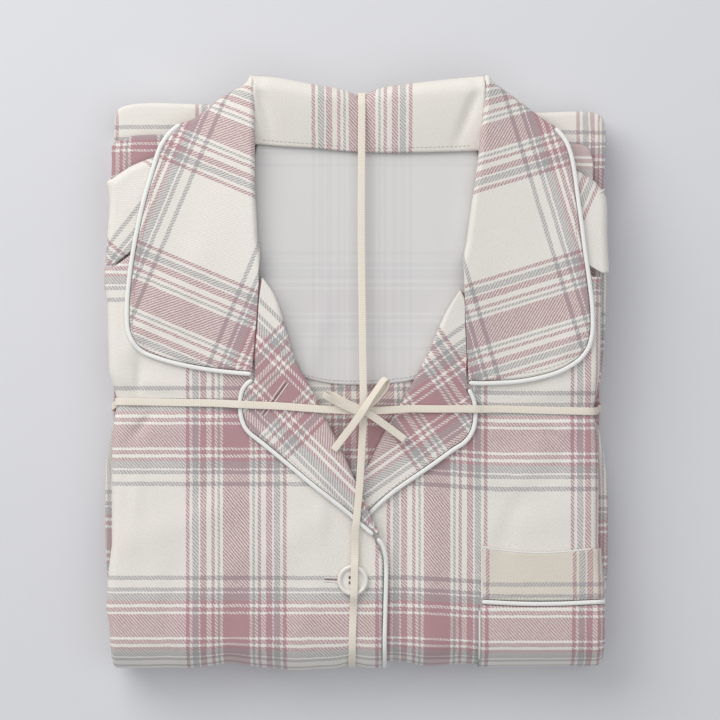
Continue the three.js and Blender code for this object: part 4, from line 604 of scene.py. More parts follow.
def stitches(name, points, spacing=2.4, length=1.7, radius=0.19):
    # A row of even stitches along a seam, in the darker thread that carries the stitch lines' painted shade
    line = curve(points, 12)
    t = (np.arange(max(int(line["length"] / spacing), 1)) + 0.5) / max(int(line["length"] / spacing), 1)
    return spindles(name, at(line, t), along(line, t), length, radius)


def buttonhole(name, start, end, height, half=1.15, reach=0.75, gap=0.4):
    # Bars side by side along both lips of the slit, and between them a strip of cloth painted dark: painted shade
    # inside the slit
    start, end = np.array(start, float), np.array(end, float)
    length = np.linalg.norm(end - start)
    way = (end - start) / length
    side = np.array([-way[1], way[0]])
    t = (np.arange(int(length / gap)) + 0.5) / int(length / gap)
    lips = [start + way * (t * length)[:, None] + side * k * half for k in (-1, 1)]
    p = np.vstack(lips)
    p = np.column_stack([p, height(p[:, 0], p[:, 1])])
    spindles(name, p, np.tile([*side, 0.0], (len(p), 1)), reach, 0.24, paleThreadAndHighlight)
    # The slit: a thin strip of the dark cloth, painted shade
    s = np.linspace(0, 1, 24)
    a = np.linspace(0, 2 * np.pi, 8, endpoint=False)
    girth = 0.32 * np.sqrt(np.clip(1 - (2 * s - 1) ** 4, 0.02, 1))[:, None]
    middle = start + way * (s * length)[:, None]
    flat = middle[:, None] + side * (girth * np.cos(a))[..., None]
    z = height(middle[:, 0], middle[:, 1])[:, None] + 0.06 + 0.1 * np.sin(a)
    closedTube(name + "_slit_shade", np.concatenate([flat, z[..., None]], -1), stripUv(s * length, 0.3, 8), shadedSlitCloth)


# Camera straight above, as the photo
camera = bpy.data.objects.new("camera", bpy.data.cameras.new("camera"))
bpy.context.scene.collection.objects.link(camera)
bpy.context.scene.camera = camera
camera.data.sensor_width = 36
camera.data.lens = 36 * 1500 / 405
camera.data.clip_end = 20
camera.location = (0.00197, 0.00675, 1.539)


# Floor and light: a pale card, one large soft light from the upper left, pale surroundings
def addFloor():
    mesh = bpy.data.meshes.new("card")
    mesh.from_pydata([(-4, -4, 0), (4, -4, 0), (4, 4, 0), (-4, 4, 0)], [], [(0, 1, 2, 3)])
    made = bpy.data.objects.new("card", mesh)
    made.data.materials.append(backdrop())
    bpy.context.scene.collection.objects.link(made)


def addLight(name, place, aim, size, power, colour):
    made = bpy.data.objects.new(name, bpy.data.lights.new(name, "AREA"))
    made.data.size, made.data.energy, made.data.color = size, power, srgb(colour)[:3]
    made.location = place
    towards = [a - b for a, b in zip(aim, place)]
    flat = math.hypot(towards[0], towards[1])
    made.rotation_euler = (math.atan2(flat, -towards[2]), 0, math.atan2(towards[1], towards[0]) - math.pi / 2)
    bpy.context.scene.collection.objects.link(made)


addFloor()
addLight("window", (-0.82, 1.05, 1.05), (0, 0, 0), 1.5, 22, "#FFFDFA")
addLight("ceiling", (0.5, -0.2, 2.2), (0, 0, 0), 2.2, 14, "#F9FAFF")
world = bpy.data.worlds.new("studio")
world.use_nodes = True
world.node_tree.nodes["Background"].inputs[0].default_value = srgb("#F2F3F5")
world.node_tree.nodes["Background"].inputs[1].default_value = 0.42
bpy.context.scene.world = world
bpy.context.scene.view_settings.view_transform = "Standard"
print("camera, floor and light made")

steps = np.linspace


def straight(a, b):
    return path(np.linspace(np.asarray(a, float), np.asarray(b, float), 60))


# Shirt fronts: over the top, round the bottom roll, along the underside, with a fold at the side
fronts = {
    "left": {
        "outerY": 59, "under": -137, "innerX": 14.2, "dips": False, "origin": (-67.6, 67.5),
        "seam": [(-62, 113.6), (-90, 93), (-126.3, 66.5)],
        "inner": [(-62, 113.6), (-61, 80), (-59.4, 53), (-50.5, 39), (-45, 24), (-39.5, 5), (-28.5, -14),
                  (-21, -30), (-11, -50), (-2.2, -69), (5.5, -85), (11.5, -97), (14.7, -106), (15, -116),
                  (14.6, -132), (14.2, -149)],
        "edge": [(-170, -138.4), (-142, -139.4), (-134, -141.4), (-112, -140), (-97, -138), (-36, -138),
                 (-24, -136.4), (-17, -134.8), (-12, -136.2), (0, -139.6), (39, -140.6), (47, -142.3),
                 (70, -142)],
    },
    "right": {
        "outerY": 53.5, "under": 137, "innerX": -14.4, "dips": True, "origin": (45.3, 67.5),
        "seam": [(72, 108.6), (95, 86), (125, 61.8)],
        "inner": [(72, 108.6), (67.4, 80), (65, 46), (55.5, 31.5), (43.2, 4.5), (34, -12.5), (25.4, -28),
                  (17.8, -42), (10.5, -55), (3, -67), (-5, -80), (-11.5, -94), (-14, -108), (-14.2, -125),
                  (-14.4, -149)],
        "edge": [(-170, 139.2), (-118, 138.4), (-96, 136.4), (-42, 136.6), (-30, 134.8), (-22, 133.6),
                 (-16, 134.8), (2, 137.6), (60, 138.6)],
    },
}
rollWaves = np.array([(-138, 0.4), (-95, 0.2), (-72, -2.2), (-40, 1), (-12, 0.4), (-3, -1.6), (7, 0.4),
                      (40, -1.2), (56, -1.8), (80, -2.2), (139, -2.4)])


def foldDepth(y, angle):
    # Deep at the shoulder, flatter round the roll: mix(top, under, share) - the tape's squeeze
    share = smooth(-100, form["rollY"], y) * 0.5 + np.minimum(angle / (math.pi / 2), 1) * 0.5
    pressed = np.where(angle > 0, 0, form["sideSqueeze"] * bell(y - form["sideTapeY"], form["squeezeWidth"]))
    return mix(form["foldTop"], form["foldUnder"], np.clip(share, 0, 1)) - pressed


def aroundRoll(x, y, away, sink, angle, dip, raised=0.0):
    # radius = R + (top - height) cos^2(angle/2) - dip - sink + raised, turned about the roll's axis
    radius0 = form["rollRadius"]
    bump = (frontTop(x, np.maximum(y, form["rollY"])) - form["height"]) * np.cos(angle / 2) ** 2
    radius = radius0 + bump - dip - sink + raised
    reach = np.interp(x, rollWaves[:, 0], rollWaves[:, 1])
    turned = form["rollY"] - (radius + reach) * np.sin(angle)
    return np.stack([x + away, np.where(angle > 0, turned, y), radius0 + radius * np.cos(angle)], -1)


def frontGrid(front):
    # Patch over the top, then rows round the roll, then rows underneath; the side fold is
    # away = half sin(phi), sink = half (1 - cos(phi)), and a ply that runs back
    sign = np.sign(front["under"])
    edge = np.array(front["edge"], float)
    inner = curve(front["inner"])
    share = steps(0, 1, 200)
    outerY = mix(front["outerY"], form["rollY"], share)
    outerX = np.interp(outerY, edge[:, 0], edge[:, 1]) - sign * foldDepth(outerY, 0 * share) / 2
    outer = path(np.stack([outerX, outerY], -1), share)
    seam = curve(front["seam"] + [tuple(at(outer, 0))])
    u, v = np.meshgrid(steps(0, 1, 78), steps(0, 1, 112))
    top = patch(inner, outer, seam, straight(at(inner, 1), at(outer, 1)), u, v)
    underX = mix(front["innerX"], front["under"], u[0])
    turn = steps(0, math.pi, 30)[1:]
    rollX = mix(top[-1, :, 0], underX, (turn[:, None] / math.pi) ** 2)
    underY = steps(form["rollY"], form["hemY"], 90)[1:]
    x = np.vstack([top[..., 0], rollX, np.broadcast_to(underX, (len(underY), u.shape[1]))])
    y = np.vstack([top[..., 1], np.full(rollX.shape, form["rollY"]), np.repeat(underY[:, None], u.shape[1], 1)])
    angle = np.concatenate([np.zeros(len(top)), turn, np.full(len(underY), math.pi)])[:, None]
    below = np.concatenate([np.zeros(len(top) + len(turn)), np.ones(len(underY))])[:, None]
    phi = steps(0, math.pi, 15)[1:]
    runs = steps(0, form["foldReturn"], 7)[1:]
    half = np.where(below > 0, form["foldUnder"] / 2, foldDepth(y[:, -1:], angle) / 2)
    away = np.hstack([0 * x, sign * half * np.sin(phi), np.broadcast_to(-sign * runs, (len(x), len(runs)))])
    sink = np.hstack([0 * x, half * (1 - np.cos(phi)), np.broadcast_to(2 * half, (len(x), len(runs)))])
    reach = np.hstack([0 * x, half * phi, half * math.pi + runs])
    count = len(phi) + len(runs)
    x, y = (np.hstack([k, np.repeat(k[:, -1:], count, 1)]) for k in (x, y))
    dip = overlapDip(x) if front["dips"] else 0 * x
    rolled = aroundRoll(x, y, away, sink, np.broadcast_to(angle, x.shape), dip)
    trench = np.maximum(bell(y - form["underTapeY"], 4), bell(x + away - form["underTapeX"], 4))
    flat = np.stack([x + away, y, sink + dip + form["channel"] * np.where(dip > 0, 0, trench)], -1)
    points = np.where(below[..., None] > 0, flat, rolled)
    down = y - form["rollRadius"] * angle - below * 2 * (y - form["rollY"])
    down = down + 3.2 * smooth(-60, -110, y)
    if front["dips"]:
        return points, np.stack([x + reach, down + 2.8 * smooth(30, 85, x)], -1)
    return points, np.stack([x - reach - 3 * smooth(-22, 8, x), down], -1)


grids = {}
for side, front in fronts.items():
    grids["front_" + side] = frontGrid(front)
    addCloth("front_" + side, grids["front_" + side], (0, front["origin"]), form["frontWall"], probe=(8, 8))


# Layers folded inside: closed rings round an outline, the cloth coordinates running down the sides
trousersOutline = [(-138, 104), (-138, 138), (-136.4, 149), (-128, 152.4), (-84, 152.3), (-20, 150), (50, 147.5),
                   (100, 147.6), (136, 147.4), (140.6, 144), (141, 100), (142.6, 60), (142, 30), (138.4, -8),
                   (134.6, -21.5), (138.4, -34), (142.6, -60), (143, -98), (142.6, -118), (140.4, -138),
                   (136, -152), (122, -159), (0, -159), (-122, -159), (-136, -152), (-140.4, -138),
                   (-142.4, -112), (-142.4, -48), (-138.6, -30), (-134.4, -17), (-137.6, -4), (-139.6, 30)]
sleeveOutlines = {
    "left": [(-138.4, 66), (-138.4, 118), (-137.6, 129.5), (-131, 131.6), (-128, 133.3), (-70, 133.6), (-14, 132),
             (-8, 120), (-10, 0), (-12, -120), (-20, -134), (-90, -136), (-109, -131), (-117, -110),
             (-126, -60), (-126, 0), (-128, 50)],
    "right": [(133.2, 66), (133.2, 100), (133.6, 120), (130, 127.6), (119, 128.8), (60, 128.2), (2, 128.4),
              (-3, 118), (-4, 0), (-4, -120), (4, -134), (90, -136), (108, -131), (117, -110), (121, 0),
              (124, 50)],
}


def closedCurve(rows, count):
    # The open spline through the rows wrapped by three, cut back to one turn
    wrapped = rows[-3:] + rows + rows[:4]
    line = curve(wrapped, 24)
    points = line["points"][3 * 24:(3 + len(rows)) * 24 + 1]
    return at(path(points), steps(0, 1, count, endpoint=False))


def foldedLayers(outline, profile, lift):
    # Rings at z with inset: p - outward inset, or p scaled about the middle inside the first and last;
    # cloth coordinates: the outline moved out by how far the surface runs below the top ring
    forward = np.roll(outline, -1, axis=0) - np.roll(outline, 1, axis=0)
    outward = np.stack([forward[:, 1], -forward[:, 0]], -1) / np.linalg.norm(forward, axis=1, keepdims=True)
    middle = outline.mean(0)
    outward *= np.sign((outward * (outline - middle)).sum())
    flats = np.array([middle + (outline - outward * inset - middle) * scale for _, inset, scale, _ in profile])
    rings = np.array([np.column_stack([flat, lift(flat[:, 0], flat[:, 1], row[0])])
                      for flat, row in zip(flats, profile)])
    onSide = np.array([row[2] == 1 for row in profile])
    step = np.linalg.norm(np.diff(rings, axis=0), axis=-1).mean(1) * (onSide[1:] & onSide[:-1])
    below = np.append(np.cumsum(step[::-1])[::-1], 0)[:, None, None]
    shifts = np.array([row[3] for row in profile], float)[:, None]
    return rings, np.where(onSide[:, None, None], outline + outward * below, flats) + shifts


def addLayers(name, outline, profile, lift, plaidFrame, wall, slide=(0, 0)):
    rings, cloth = foldedLayers(outline, profile, lift)
    cloth = cloth - smooth(-60, 60, cloth[..., :1]) * slide
    made = closedTube(name + "_cloth", rings, turnedUv(cloth, *plaidFrame), flannel, name)
    shell = made.modifiers.new("wall", "SOLIDIFY")
    shell.thickness, shell.offset = wall * mm, -1
    print(name, "outer face", round(sheetArea(np.concatenate([rings, rings[:, :1]], 1)), 4), "m2")


def toe(x, y, z):
    # the upper layers rise with the crown towards the top: z + crown(x, y) smooth(18, 26.2, z)
    return z + crown(x, y) * smooth(18, 26.2, z)


layerProfile = []
for layer in range(4):
    low, high = 6.6 + 4.9 * layer, 6.6 + 4.9 * (layer + 1)
    shift = (0, 0), (9, 4), (-14, 7), (0, 0)
    for s in steps(0, math.pi, 9):
        layerProfile.append((mix(low, high, (1 - math.cos(s)) / 2), 3.4 - 3.0 * math.sin(s), 1, shift[layer]))
layerProfile = [(6.6, 3.4, k, (0, 0)) for k in (0.02, 0.5, 0.9)] + layerProfile
layerProfile += [(26.2, 3.4, k, (0, 0)) for k in (0.97, 0.9, 0.8, 0.65, 0.5, 0.3, 0.02)]
trousersRim = closedCurve(trousersOutline, 300)
addLayers("trousers", trousersRim, layerProfile, toe, (0, (-166.6, 112)), 1.2, slide=(9.1, -3))
sleeveProfile = [(29.3, 1.2, k, (0, 0)) for k in (0.02, 0.5, 0.9)]
sleeveProfile += [(mix(29.3, 31.9, (1 - math.cos(s)) / 2), 1.2 - 1.2 * math.sin(s), 1, (0, 0))
                  for s in steps(0, math.pi, 9)]
sleeveProfile += [(31.9, 1.2, k, (0, 0)) for k in (0.97, 0.9, 0.8, 0.65, 0.5, 0.3, 0.02)]
for side, origin in (("left", (-120, 118)), ("right", (86.5, 128.4))):
    addLayers("sleeve_" + side, closedCurve(sleeveOutlines[side], 220), sleeveProfile,
              lambda x, y, z: z + crown(x, y), (0, origin), 0.9)

# Back and its facing inside the neck opening
neckSeam = [(-56.2, 128.3), (-39.7, 126.8), (-26, 126), (1, 123.8), (20.5, 123.4), (46, 123.8), (68.4, 124.6)]
backSides = [[(-60, 112), (-60, 40), (-46, 5), (-30, -25), (-14, -46), (-5, -59)],
             [(70, 112), (68, 40), (52, 5), (33, -22), (15, -45), (6, -59)]]
facingSides = [[(-56, 128.5), (-60, 112), (-61, 70), (-57, 30), (-45, 8), (-34, -0.5)],
               [(68, 126), (71, 112), (68, 70), (63, 42), (50, 16), (38, -1.5)]]
facingHem = [(-34, -0.5), (-27.8, -3.4), (-14, -6.6), (2.5, -7.3), (20, -6.4), (31.8, -4.5), (38, -1.5)]


def backTop(x, y):
    return form["backTop"] + crown(x, y)


def facingTop(x, y):
    return backTop(x, y) + form["plyGap"] + form["facingWall"]


def groove(x, y, ends, width):
    # exp(-(distance to the segment / width)^2)
    a, b = np.array(ends, float)
    t = np.clip(((x - a[0]) * (b - a)[0] + (y - a[1]) * (b - a)[1]) / ((b - a) ** 2).sum(), 0, 1)
    return bell(np.hypot(x - mix(a[0], b[0], t), y - mix(a[1], b[1], t)), width)


backLine, backOther = (curve(rows) for rows in backSides)
addCloth("back_inside", laidGrid(
    backLine, backOther, straight(at(backLine, 0), at(backOther, 0)), straight(at(backLine, 1), at(backOther, 1)),
    steps(0, 1, 60), steps(0, 1, 80), lambda x, y, u, v: backTop(x, y)), (0, (13.8, -36.6), True), form["backWall"])
facingLine, facingOther = (curve(rows) for rows in facingSides)
upper = curve([facingSides[0][0]] + [(x, y + 2) for x, y in neckSeam[1:-1]] + [facingSides[1][0]])
grids["neck_facing"] = laidGrid(facingLine, facingOther, upper, curve(facingHem), steps(0, 1, 90),
                                steps(0, 1, 90), lambda x, y, u, v: facingTop(x, y) + np.maximum(
                                    folds(x, y, facingFolds), -0.3))
addCloth("neck_facing", grids["neck_facing"], (0, (3.1, 40)), form["facingWall"], facingCotton)

# Shoulders: the back brought over, its fold and its side turned down
shoulders = {
    "left": {"origin": (-135, 34.3), "angle": 51.3,
             "fold": [(-64.5, 126.5), (-98, 123.8), (-114, 121.6), (-128, 116.8), (-140.2, 109.6)],
             "side": [(-140.2, 109.6), (-139.4, 98), (-139.8, 86), (-141.8, 59.8)],
             "seam": [(-64.5, 113.2), (-90, 94.8), (-126.3, 68.4), (-141.8, 59.8)]},
    "right": {"origin": (81.5, 50.5), "angle": -24.2,
              "fold": [(76, 124), (105, 121), (121, 116), (134, 109.4), (139.6, 104)],
              "side": [(139.6, 104), (141, 97), (141.6, 75), (142.6, 55.8)],
              "seam": [(76, 107.6), (95, 88), (125, 63.8), (142.6, 55.8)]},
}


def shoulderGrid(fold, side, seam, **rest):
    drop = form["shoulderDrop"]
    inset = np.sign(fold[0][0]) * drop
    share = steps(0, 1, len(fold))
    first = curve([(x - inset * k, y - drop) for (x, y), k in zip(fold, share)][::-1])
    pulled = [(x - inset, y) for x, y in side[1:]]
    last = curve((seam[:-1] + [pulled[-1]])[::-1])
    inner = curve([tuple(at(first, 0))] + pulled)
    turned = turnedEdge(lambda t: drop + 0 * t, (15, 30, 45, 60, 75, 88))
    return laidGrid(inner, straight(at(first, 1), at(last, 1)), first, last, steps(0, 1, 70), steps(0, 1, 50),
                    lambda x, y, u, v: frontTop(x, y), turned, turned)


for side, facts in shoulders.items():
    addCloth("shoulder_" + side, shoulderGrid(**facts), (facts["angle"], facts["origin"]), form["frontWall"])

# Collar leaves
leaves = {
    "left": {
        "corner": 0.63, "angle": -113, "origin": (-9.9, 108.1),
        "roll": [(-57.1, 166.8), (-57.1, 125), (-56.8, 100), (-55.6, 79), (-54.6, 60), (-54.8, 50), (-55.4, 38),
                 (-56.4, 26), (-57.8, 9), (-58.6, 0.6)],
        "top": [(-65.5, 160.9), (-75.7, 154.7), (-85.2, 147.4), (-93.7, 142)],
        "piped": [(-99.4, 139.3), (-105.3, 134.2), (-110.5, 126), (-113.8, 116), (-118, 102), (-122, 86),
                  (-125.4, 68.6), (-127.8, 52), (-129, 36), (-128.5, 24), (-126, 17.2), (-121.2, 12),
                  (-113.3, 8.4), (-102, 5), (-89, 2.3), (-76, 0.4), (-59, -1.2)],
    },
    "right": {
        "corner": 0.64, "angle": -73, "origin": (46.2, 15.0),
        "roll": [(71.7, 167.2), (71.2, 148), (69.4, 130), (66.6, 108), (62.9, 82), (60.4, 62), (60.4, 50),
                 (61, 34), (61.8, 16), (63, -4.4)],
        "top": [(79, 162.4), (88.6, 154.7), (98.2, 147.9), (106.6, 141.8)],
        "piped": [(112, 137), (116.8, 131.4), (120.2, 123.6), (122.4, 113), (124.2, 100), (126.4, 84),
                  (128.6, 67), (131, 50), (132.6, 34), (132.2, 20), (129.2, 11.4), (124, 6), (114.5, 0.4),
                  (104.5, -2.8), (92, -5.2), (78, -6.2), (63.4, -6.4)],
    },
}
gorgeShare = 0.66


def leafTop(side, x, y):
    # top + ply + tent - 0.006 (y - 118)^2 where the tent doesn't hold it
    past = np.maximum(y - 118, 0) ** 2
    height = tent(side, x, y)
    free = 1 - height / tentHeights[side][0]
    top = frontTop(x, y) + np.maximum(folds(x, y, leafFolds), 0)
    return top + form["plyGap"] + form["collarWall"] + height - 0.006 * past * free


def pipingLine(rim, thickness, inside):
    # The rim's points moved out by the piping's radius and gap, away from the piece's inside
    out = form["pipingRadius"] + form["pipingGap"]
    ahead = np.gradient(rim[:, :2], axis=0)
    normal = np.stack([-ahead[:, 1], ahead[:, 0]], -1) / np.linalg.norm(ahead, axis=1, keepdims=True)
    half = len(rim) // 2
    way = -np.sign(np.dot(normal[half], inside[:2] - rim[half, :2]))
    flat = rim[:, :2] + normal * way * out
    return np.column_stack([flat, rim[:, 2] - thickness / 2 + form["pipingRise"]])


def leafGrid(side, roll, top, piped, corner, **rest):
    sign = -1 if side == "left" else 1
    edgeRadius = lambda v: mix(form["edgeRadius"] + 0.4, 0.4, smooth(gorgeShare - 0.1, gorgeShare, v))
    topRadius = lambda u: mix(7.4, 2.6, np.asarray(u, float) ** 0.6)
    free = moved(curve(roll), lambda t: sign * edgeRadius(t))
    rim = moved(curve(piped), -sign * (form["pipingRadius"] + form["pipingGap"]))
    start = at(free, 0) - [0, 7.4]
    inner = curve([tuple(start)] + [tuple(p) for p in at(free, steps(0.12, 1, 15))])
    outer, back = part(rim, 0, corner), part(rim, corner, 1)
    last = curve([tuple(p) for p in at(back, steps(0, 0.94, 13))] + [tuple(at(inner, 1))])
    last = path(last["points"][::-1])
    radii = topRadius(np.arange(1, len(top) + 1) / (len(top) + 1))
    lowered = [(x - sign * 0.5 * r, y - 0.87 * r) for (x, y), r in zip(top, radii)]
    first = curve([tuple(at(inner, 0))] + lowered + [tuple(at(outer, 0))])

    def skirt(v, z):
        floor = facingTop(0, mix(150, 0, v)) + 0.6
        return mix(np.maximum(z - floor, 2), 0.5, smooth(gorgeShare - 0.08, gorgeShare, v))

    def heading(u, outward):
        turned = mix(np.array([0.0, 1.0]), outward, smooth(0.05, 0.4, u)[:, None])
        return turned / np.linalg.norm(turned, axis=1, keepdims=True)

    beside = turnedEdge(edgeRadius, (18, 36, 54, 72, 90), below=skirt)
    before = turnedEdge(topRadius, (20, 40, 60, 80, 100, 120, 140, 160, 175),
                        runs=[lambda u: (1 + 14 * u * (1 - u)) * 0.5, lambda u: 1 + 14 * u * (1 - u)])
    us, vs = steps(0, 1, 50), steps(0, 1, 110)
    grid = laidGrid(inner, outer, first, last, us, vs, lambda x, y, u, v: leafTop(side, x, y), beside, before,
                    heading)
    rows = grid[0]
    edge, lower = rows[len(before):, -1], rows[-1, len(beside):-1][::-1]
    sewn = np.vstack([rows[len(before) + 2:-2, -3], rows[-3, len(beside) + 2:-3][::-1]])
    return grid, np.vstack([edge, lower]), rows[rows.shape[0] // 2, rows.shape[1] // 2], sewn


def addPiping(name, rim, thickness, inside):
    line = pipingLine(rim, thickness, inside)
    tubeAlong(name + "_strip", np.vstack([line[:-2:3], line[-1:]]), form["pipingRadius"], pipingCotton, name)


for side, facts in leaves.items():
    grid, rim, middle, sewn = leafGrid(side, **facts)
    addCloth("collar_" + side, grid, (facts["angle"], facts["origin"]), form["collarWall"])
    stitches("stitches_collar_" + side, sewn[::4])
    addPiping("piping_collar_" + side, rim, form["collarWall"], middle)

# Back collar: up from the neck seam, round its roll, and the fall behind
backRoll = np.array([(-56.2, 167.2, 46), (-48, 166.4, 45.6), (-31, 163.1, 44.6), (-14, 160.3, 43.2), (-5.3, 158, 42),
                     (-0.3, 155.6, 41), (3.4, 155.2, 40.8), (8, 157, 41.6), (13, 159.6, 43), (32, 162.6, 44.6),
                     (59, 165.6, 45.8), (70.6, 167, 46)])


def backCollarGrid():
    edge = curve(backRoll[:, :2])
    rollTop = lambda x: np.interp(x, backRoll[:, 0], backRoll[:, 2])
    radius = lambda t: (rollTop(at(edge, t)[..., 0]) - form["fallZ"]) / 2
    t = steps(0, 1, 160)
    low = at(edge, t)
    low[:, 1] -= radius(t)
    low[[0, -1], 0] += [-1.6, 1.6]
    seam = [(neckSeam[0][0] - 1.6, neckSeam[0][1])] + neckSeam[1:-1] + [(neckSeam[-1][0] + 1.6, neckSeam[-1][1])]
    first, last = path(low), curve(seam)
    pinched = lambda x, y: sum(groove(x, y, ends, 3.2) for ends in collarGrooves)
    height = lambda x, y, u, v: mix(rollTop(x), form["seamZ"] + crown(x, y), v ** 1.4) - (
        2.2 * np.sin(math.pi * np.clip(v, 0.02, 1) ** 0.6) * pinched(x, y))
    before = turnedEdge(radius, tuple(range(12, 181, 12)), runs=[lambda t: 10 + 0 * t, lambda t: 20 + 0 * t])
    return laidGrid(straight(at(first, 0), at(last, 0)), straight(at(first, 1), at(last, 1)), first, last,
                    steps(0, 1, 110), steps(0, 1, 24), height, (), before)


grids["collar_back"] = backCollarGrid()
addCloth("collar_back", grids["collar_back"], (0, (3.1, 92.8)), form["collarWall"],
         probe=(len(grids["collar_back"][0]) - 8, 40))

# Lapels
lapels = {
    "left": {
        "dips": False, "angle": -45, "origin": (-40.7, -11),
        "gorge": [(-54.5, 41), (-55.5, 27), (-56.9, 10)],
        "roll": rollTables["left"][5:-1] + [(12.9, -91)],
        "piped": [(-58.4, -4.4), (-62.4, -7.4), (-64.8, -12.4), (-65.4, -18), (-64.6, -26), (-61.6, -32.6),
                  (-54, -39), (-45, -46.3), (-26, -62.2), (-6.5, -77.6), (4.8, -87.4), (9.4, -91.3)],
    },
    "right": {
        "dips": True, "angle": 35, "origin": (43, -19),
        "gorge": [(60.4, 41), (60.9, 27), (61.7, 10)],
        "roll": rollTables["right"][6:],
        "piped": [(63, -9.6), (65.6, -15), (66.8, -23.6), (65.4, -32.6), (61, -39.2), (54.6, -43.4), (41, -53.2),
                  (20.6, -67.6), (12.4, -74.6), (6.6, -80.4)],
    },
}
notchShare = 0.1


def lapelGrid(side, gorge, roll, piped, dips, **rest):
    sign = -1 if side == "left" else 1
    radius = lambda v: form["edgeRadius"] * smooth(-0.05, 0.18, v) * mix(1, 0.4, smooth(0.75, 1, v))
    inner = moved(curve(roll), lambda t: sign * radius(t))
    rim = moved(curve(piped), -sign * (form["pipingRadius"] + form["pipingGap"]))
    outer = part(rim, notchShare, 1)
    notch = [tuple(at(rim, k * notchShare)) for k in steps(0.2, 1, 5)]
    seam = [tuple(at(inner, 0))] + gorge + [tuple(at(rim, 0))]
    first = curve(seam + notch)
    bend = curve(seam)["length"] / first["length"]
    last = straight(at(inner, 1), at(rim, 1))

    def height(x, y, u, v):
        dip = overlapDip(x) if dips else 0
        return frontTop(x, y) - dip + form["plyGap"] + form["lapelWall"] + tent(side, x, y)

    def skirt(v, z):
        p = at(inner, v)
        held = smooth(0.55, 0.75, v)
        floor = mix(facingTop(p[..., 0], p[..., 1]) + 0.6, z - form["lapelWall"] - 0.4, held)
        return np.maximum(z - floor, radius(v) * 1.2)

    beside = turnedEdge(radius, (18, 36, 54, 72, 90), below=skirt)
    us = np.concatenate([steps(0, bend, 40), steps(bend, 1, 12)[1:]])
    vs = steps(0, 1, 90)
    grid = laidGrid(inner, outer, first, last, us, vs, height, beside)
    rows = grid[0]
    rim = np.vstack([rows[0, len(beside) + 39:], rows[1:, -1]])
    return grid, rim, rows[len(vs) // 2, -20], np.vstack([rows[2, len(beside) + 40:-3], rows[3:-2, -3]])


for side, facts in lapels.items():
    grid, rim, middle, sewn = lapelGrid(side, **facts)
    addCloth("lapel_" + side, grid, (facts["angle"], facts["origin"]), form["lapelWall"])
    stitches("stitches_lapel_" + side, sewn[::4])
    addPiping("piping_lapel_" + side, rim, form["lapelWall"], middle)
    # A tube of cloth painted dark along the gorge, under the lapel's edge: painted shade in the slot between the collar
    # leaf and the lapel
    beside = 0.5 if side == "right" else -0.5
    tubeAlong("gorge_shade_" + side, grid[0][0, 10:44:6] + [beside, 0, -1.1], 0.9, shadedSlitCloth)


# Piping down the left front's edge and round the roll
def frontPipingLine():
    rim = grids["front_left"][0][:, 0]
    rim = rim[(rim[:, 1] < -108) | (rim[:, 2] < form["rollRadius"])][::4]
    out = form["pipingRadius"] + form["pipingGap"]
    upper = rim[:, 2] > form["rollRadius"]
    angle = np.arctan2(form["rollY"] - rim[:, 1], rim[:, 2] - form["rollRadius"])
    angle = np.where(rim[:, 1] < form["rollY"], angle, np.where(upper, 0, math.pi))
    inset = np.where(upper, form["frontWall"] / 2, form["pipingRadius"] + 0.1)
    line = np.column_stack([rim[:, 0] + out, rim[:, 1] + inset * np.sin(angle), rim[:, 2] - inset * np.cos(angle)])
    return np.vstack([[(11.9, -93.5, 42.1), (14.6, -97.2, 41.5), (16.3, -103, 40.6)], line])


tubeAlong("piping_front_strip", frontPipingLine(), form["pipingRadius"], pipingCotton, "piping_front")

# Pocket and its band on the right front
pocket = {"rise": 1.6, "wall": 1.1, "innerX": 69.2, "bandX": 70.6, "bandTop": -98.6, "bandEnd": -127.4,
          "start": -130.9}


def pocketGrid(innerX, fromY, toY, rows, turn, sags):
    # The front's own surface moved out by the pocket's rise, with its outer edge curling down the side
    edge = np.array(fronts["right"]["edge"], float)
    y = np.concatenate([steps(fromY, toY, rows), np.full(len(turn), toY)])[:, None]
    angle = np.concatenate([np.zeros(rows), turn])[:, None]
    outX = np.interp(y, edge[:, 0], edge[:, 1]) - foldDepth(y, 0 * y) / 2
    outX = mix(outX, fronts["right"]["under"], (angle / math.pi) ** 2)
    half = foldDepth(y, angle) / 2 + pocket["rise"]
    phi = steps(0, math.radians(75), 9)[1:]
    u = steps(0, 1, 44)
    x = np.hstack([mix(innerX, outX, u), np.repeat(outX, len(phi), 1)])
    away = np.hstack([0 * (u + outX), half * np.sin(phi)])
    sink = np.hstack([0 * (u + outX), half * (1 - np.cos(phi))])
    reach = np.hstack([0 * (u + outX), half * phi])
    hang = np.concatenate([steps(*sags, rows), np.zeros(len(turn))])[:, None]
    y = y - hang * np.sin(math.pi * np.clip((x - innerX) / 66, 0, 1))
    angle = np.broadcast_to(angle, x.shape)
    points = aroundRoll(x, y, away, sink, angle, 0, pocket["rise"])
    return points, np.stack([x + reach, y - form["rollRadius"] * angle], -1)


grids["pocket"] = pocketGrid(pocket["innerX"], pocket["start"], form["rollY"], 12,
                             np.radians(steps(0, 156, 26)[1:]), (1.2, 0))
grids["pocket_band"] = pocketGrid(pocket["bandX"], pocket["bandTop"], pocket["bandEnd"], 20, np.array([]),
                                  (3, 1.2))
addCloth("pocket", grids["pocket"], (0, (46, -144.6)), pocket["wall"], probe=(6, 20))
addCloth("pocket_band", grids["pocket_band"], (0, (46.4, -146.3), True), pocket["wall"], bandFlannel, (10, 20))
rim = grids["pocket_band"][0][-1]
tubeAlong("piping_pocket_strip", np.column_stack([rim[:, 0], rim[:, 1] - 1.75, rim[:, 2] - 0.05])[::3],
          form["pipingRadius"], pipingCotton, "piping_pocket")
stitches("stitches_pocket", grids["pocket_band"][0][-3, 2:-4:3])
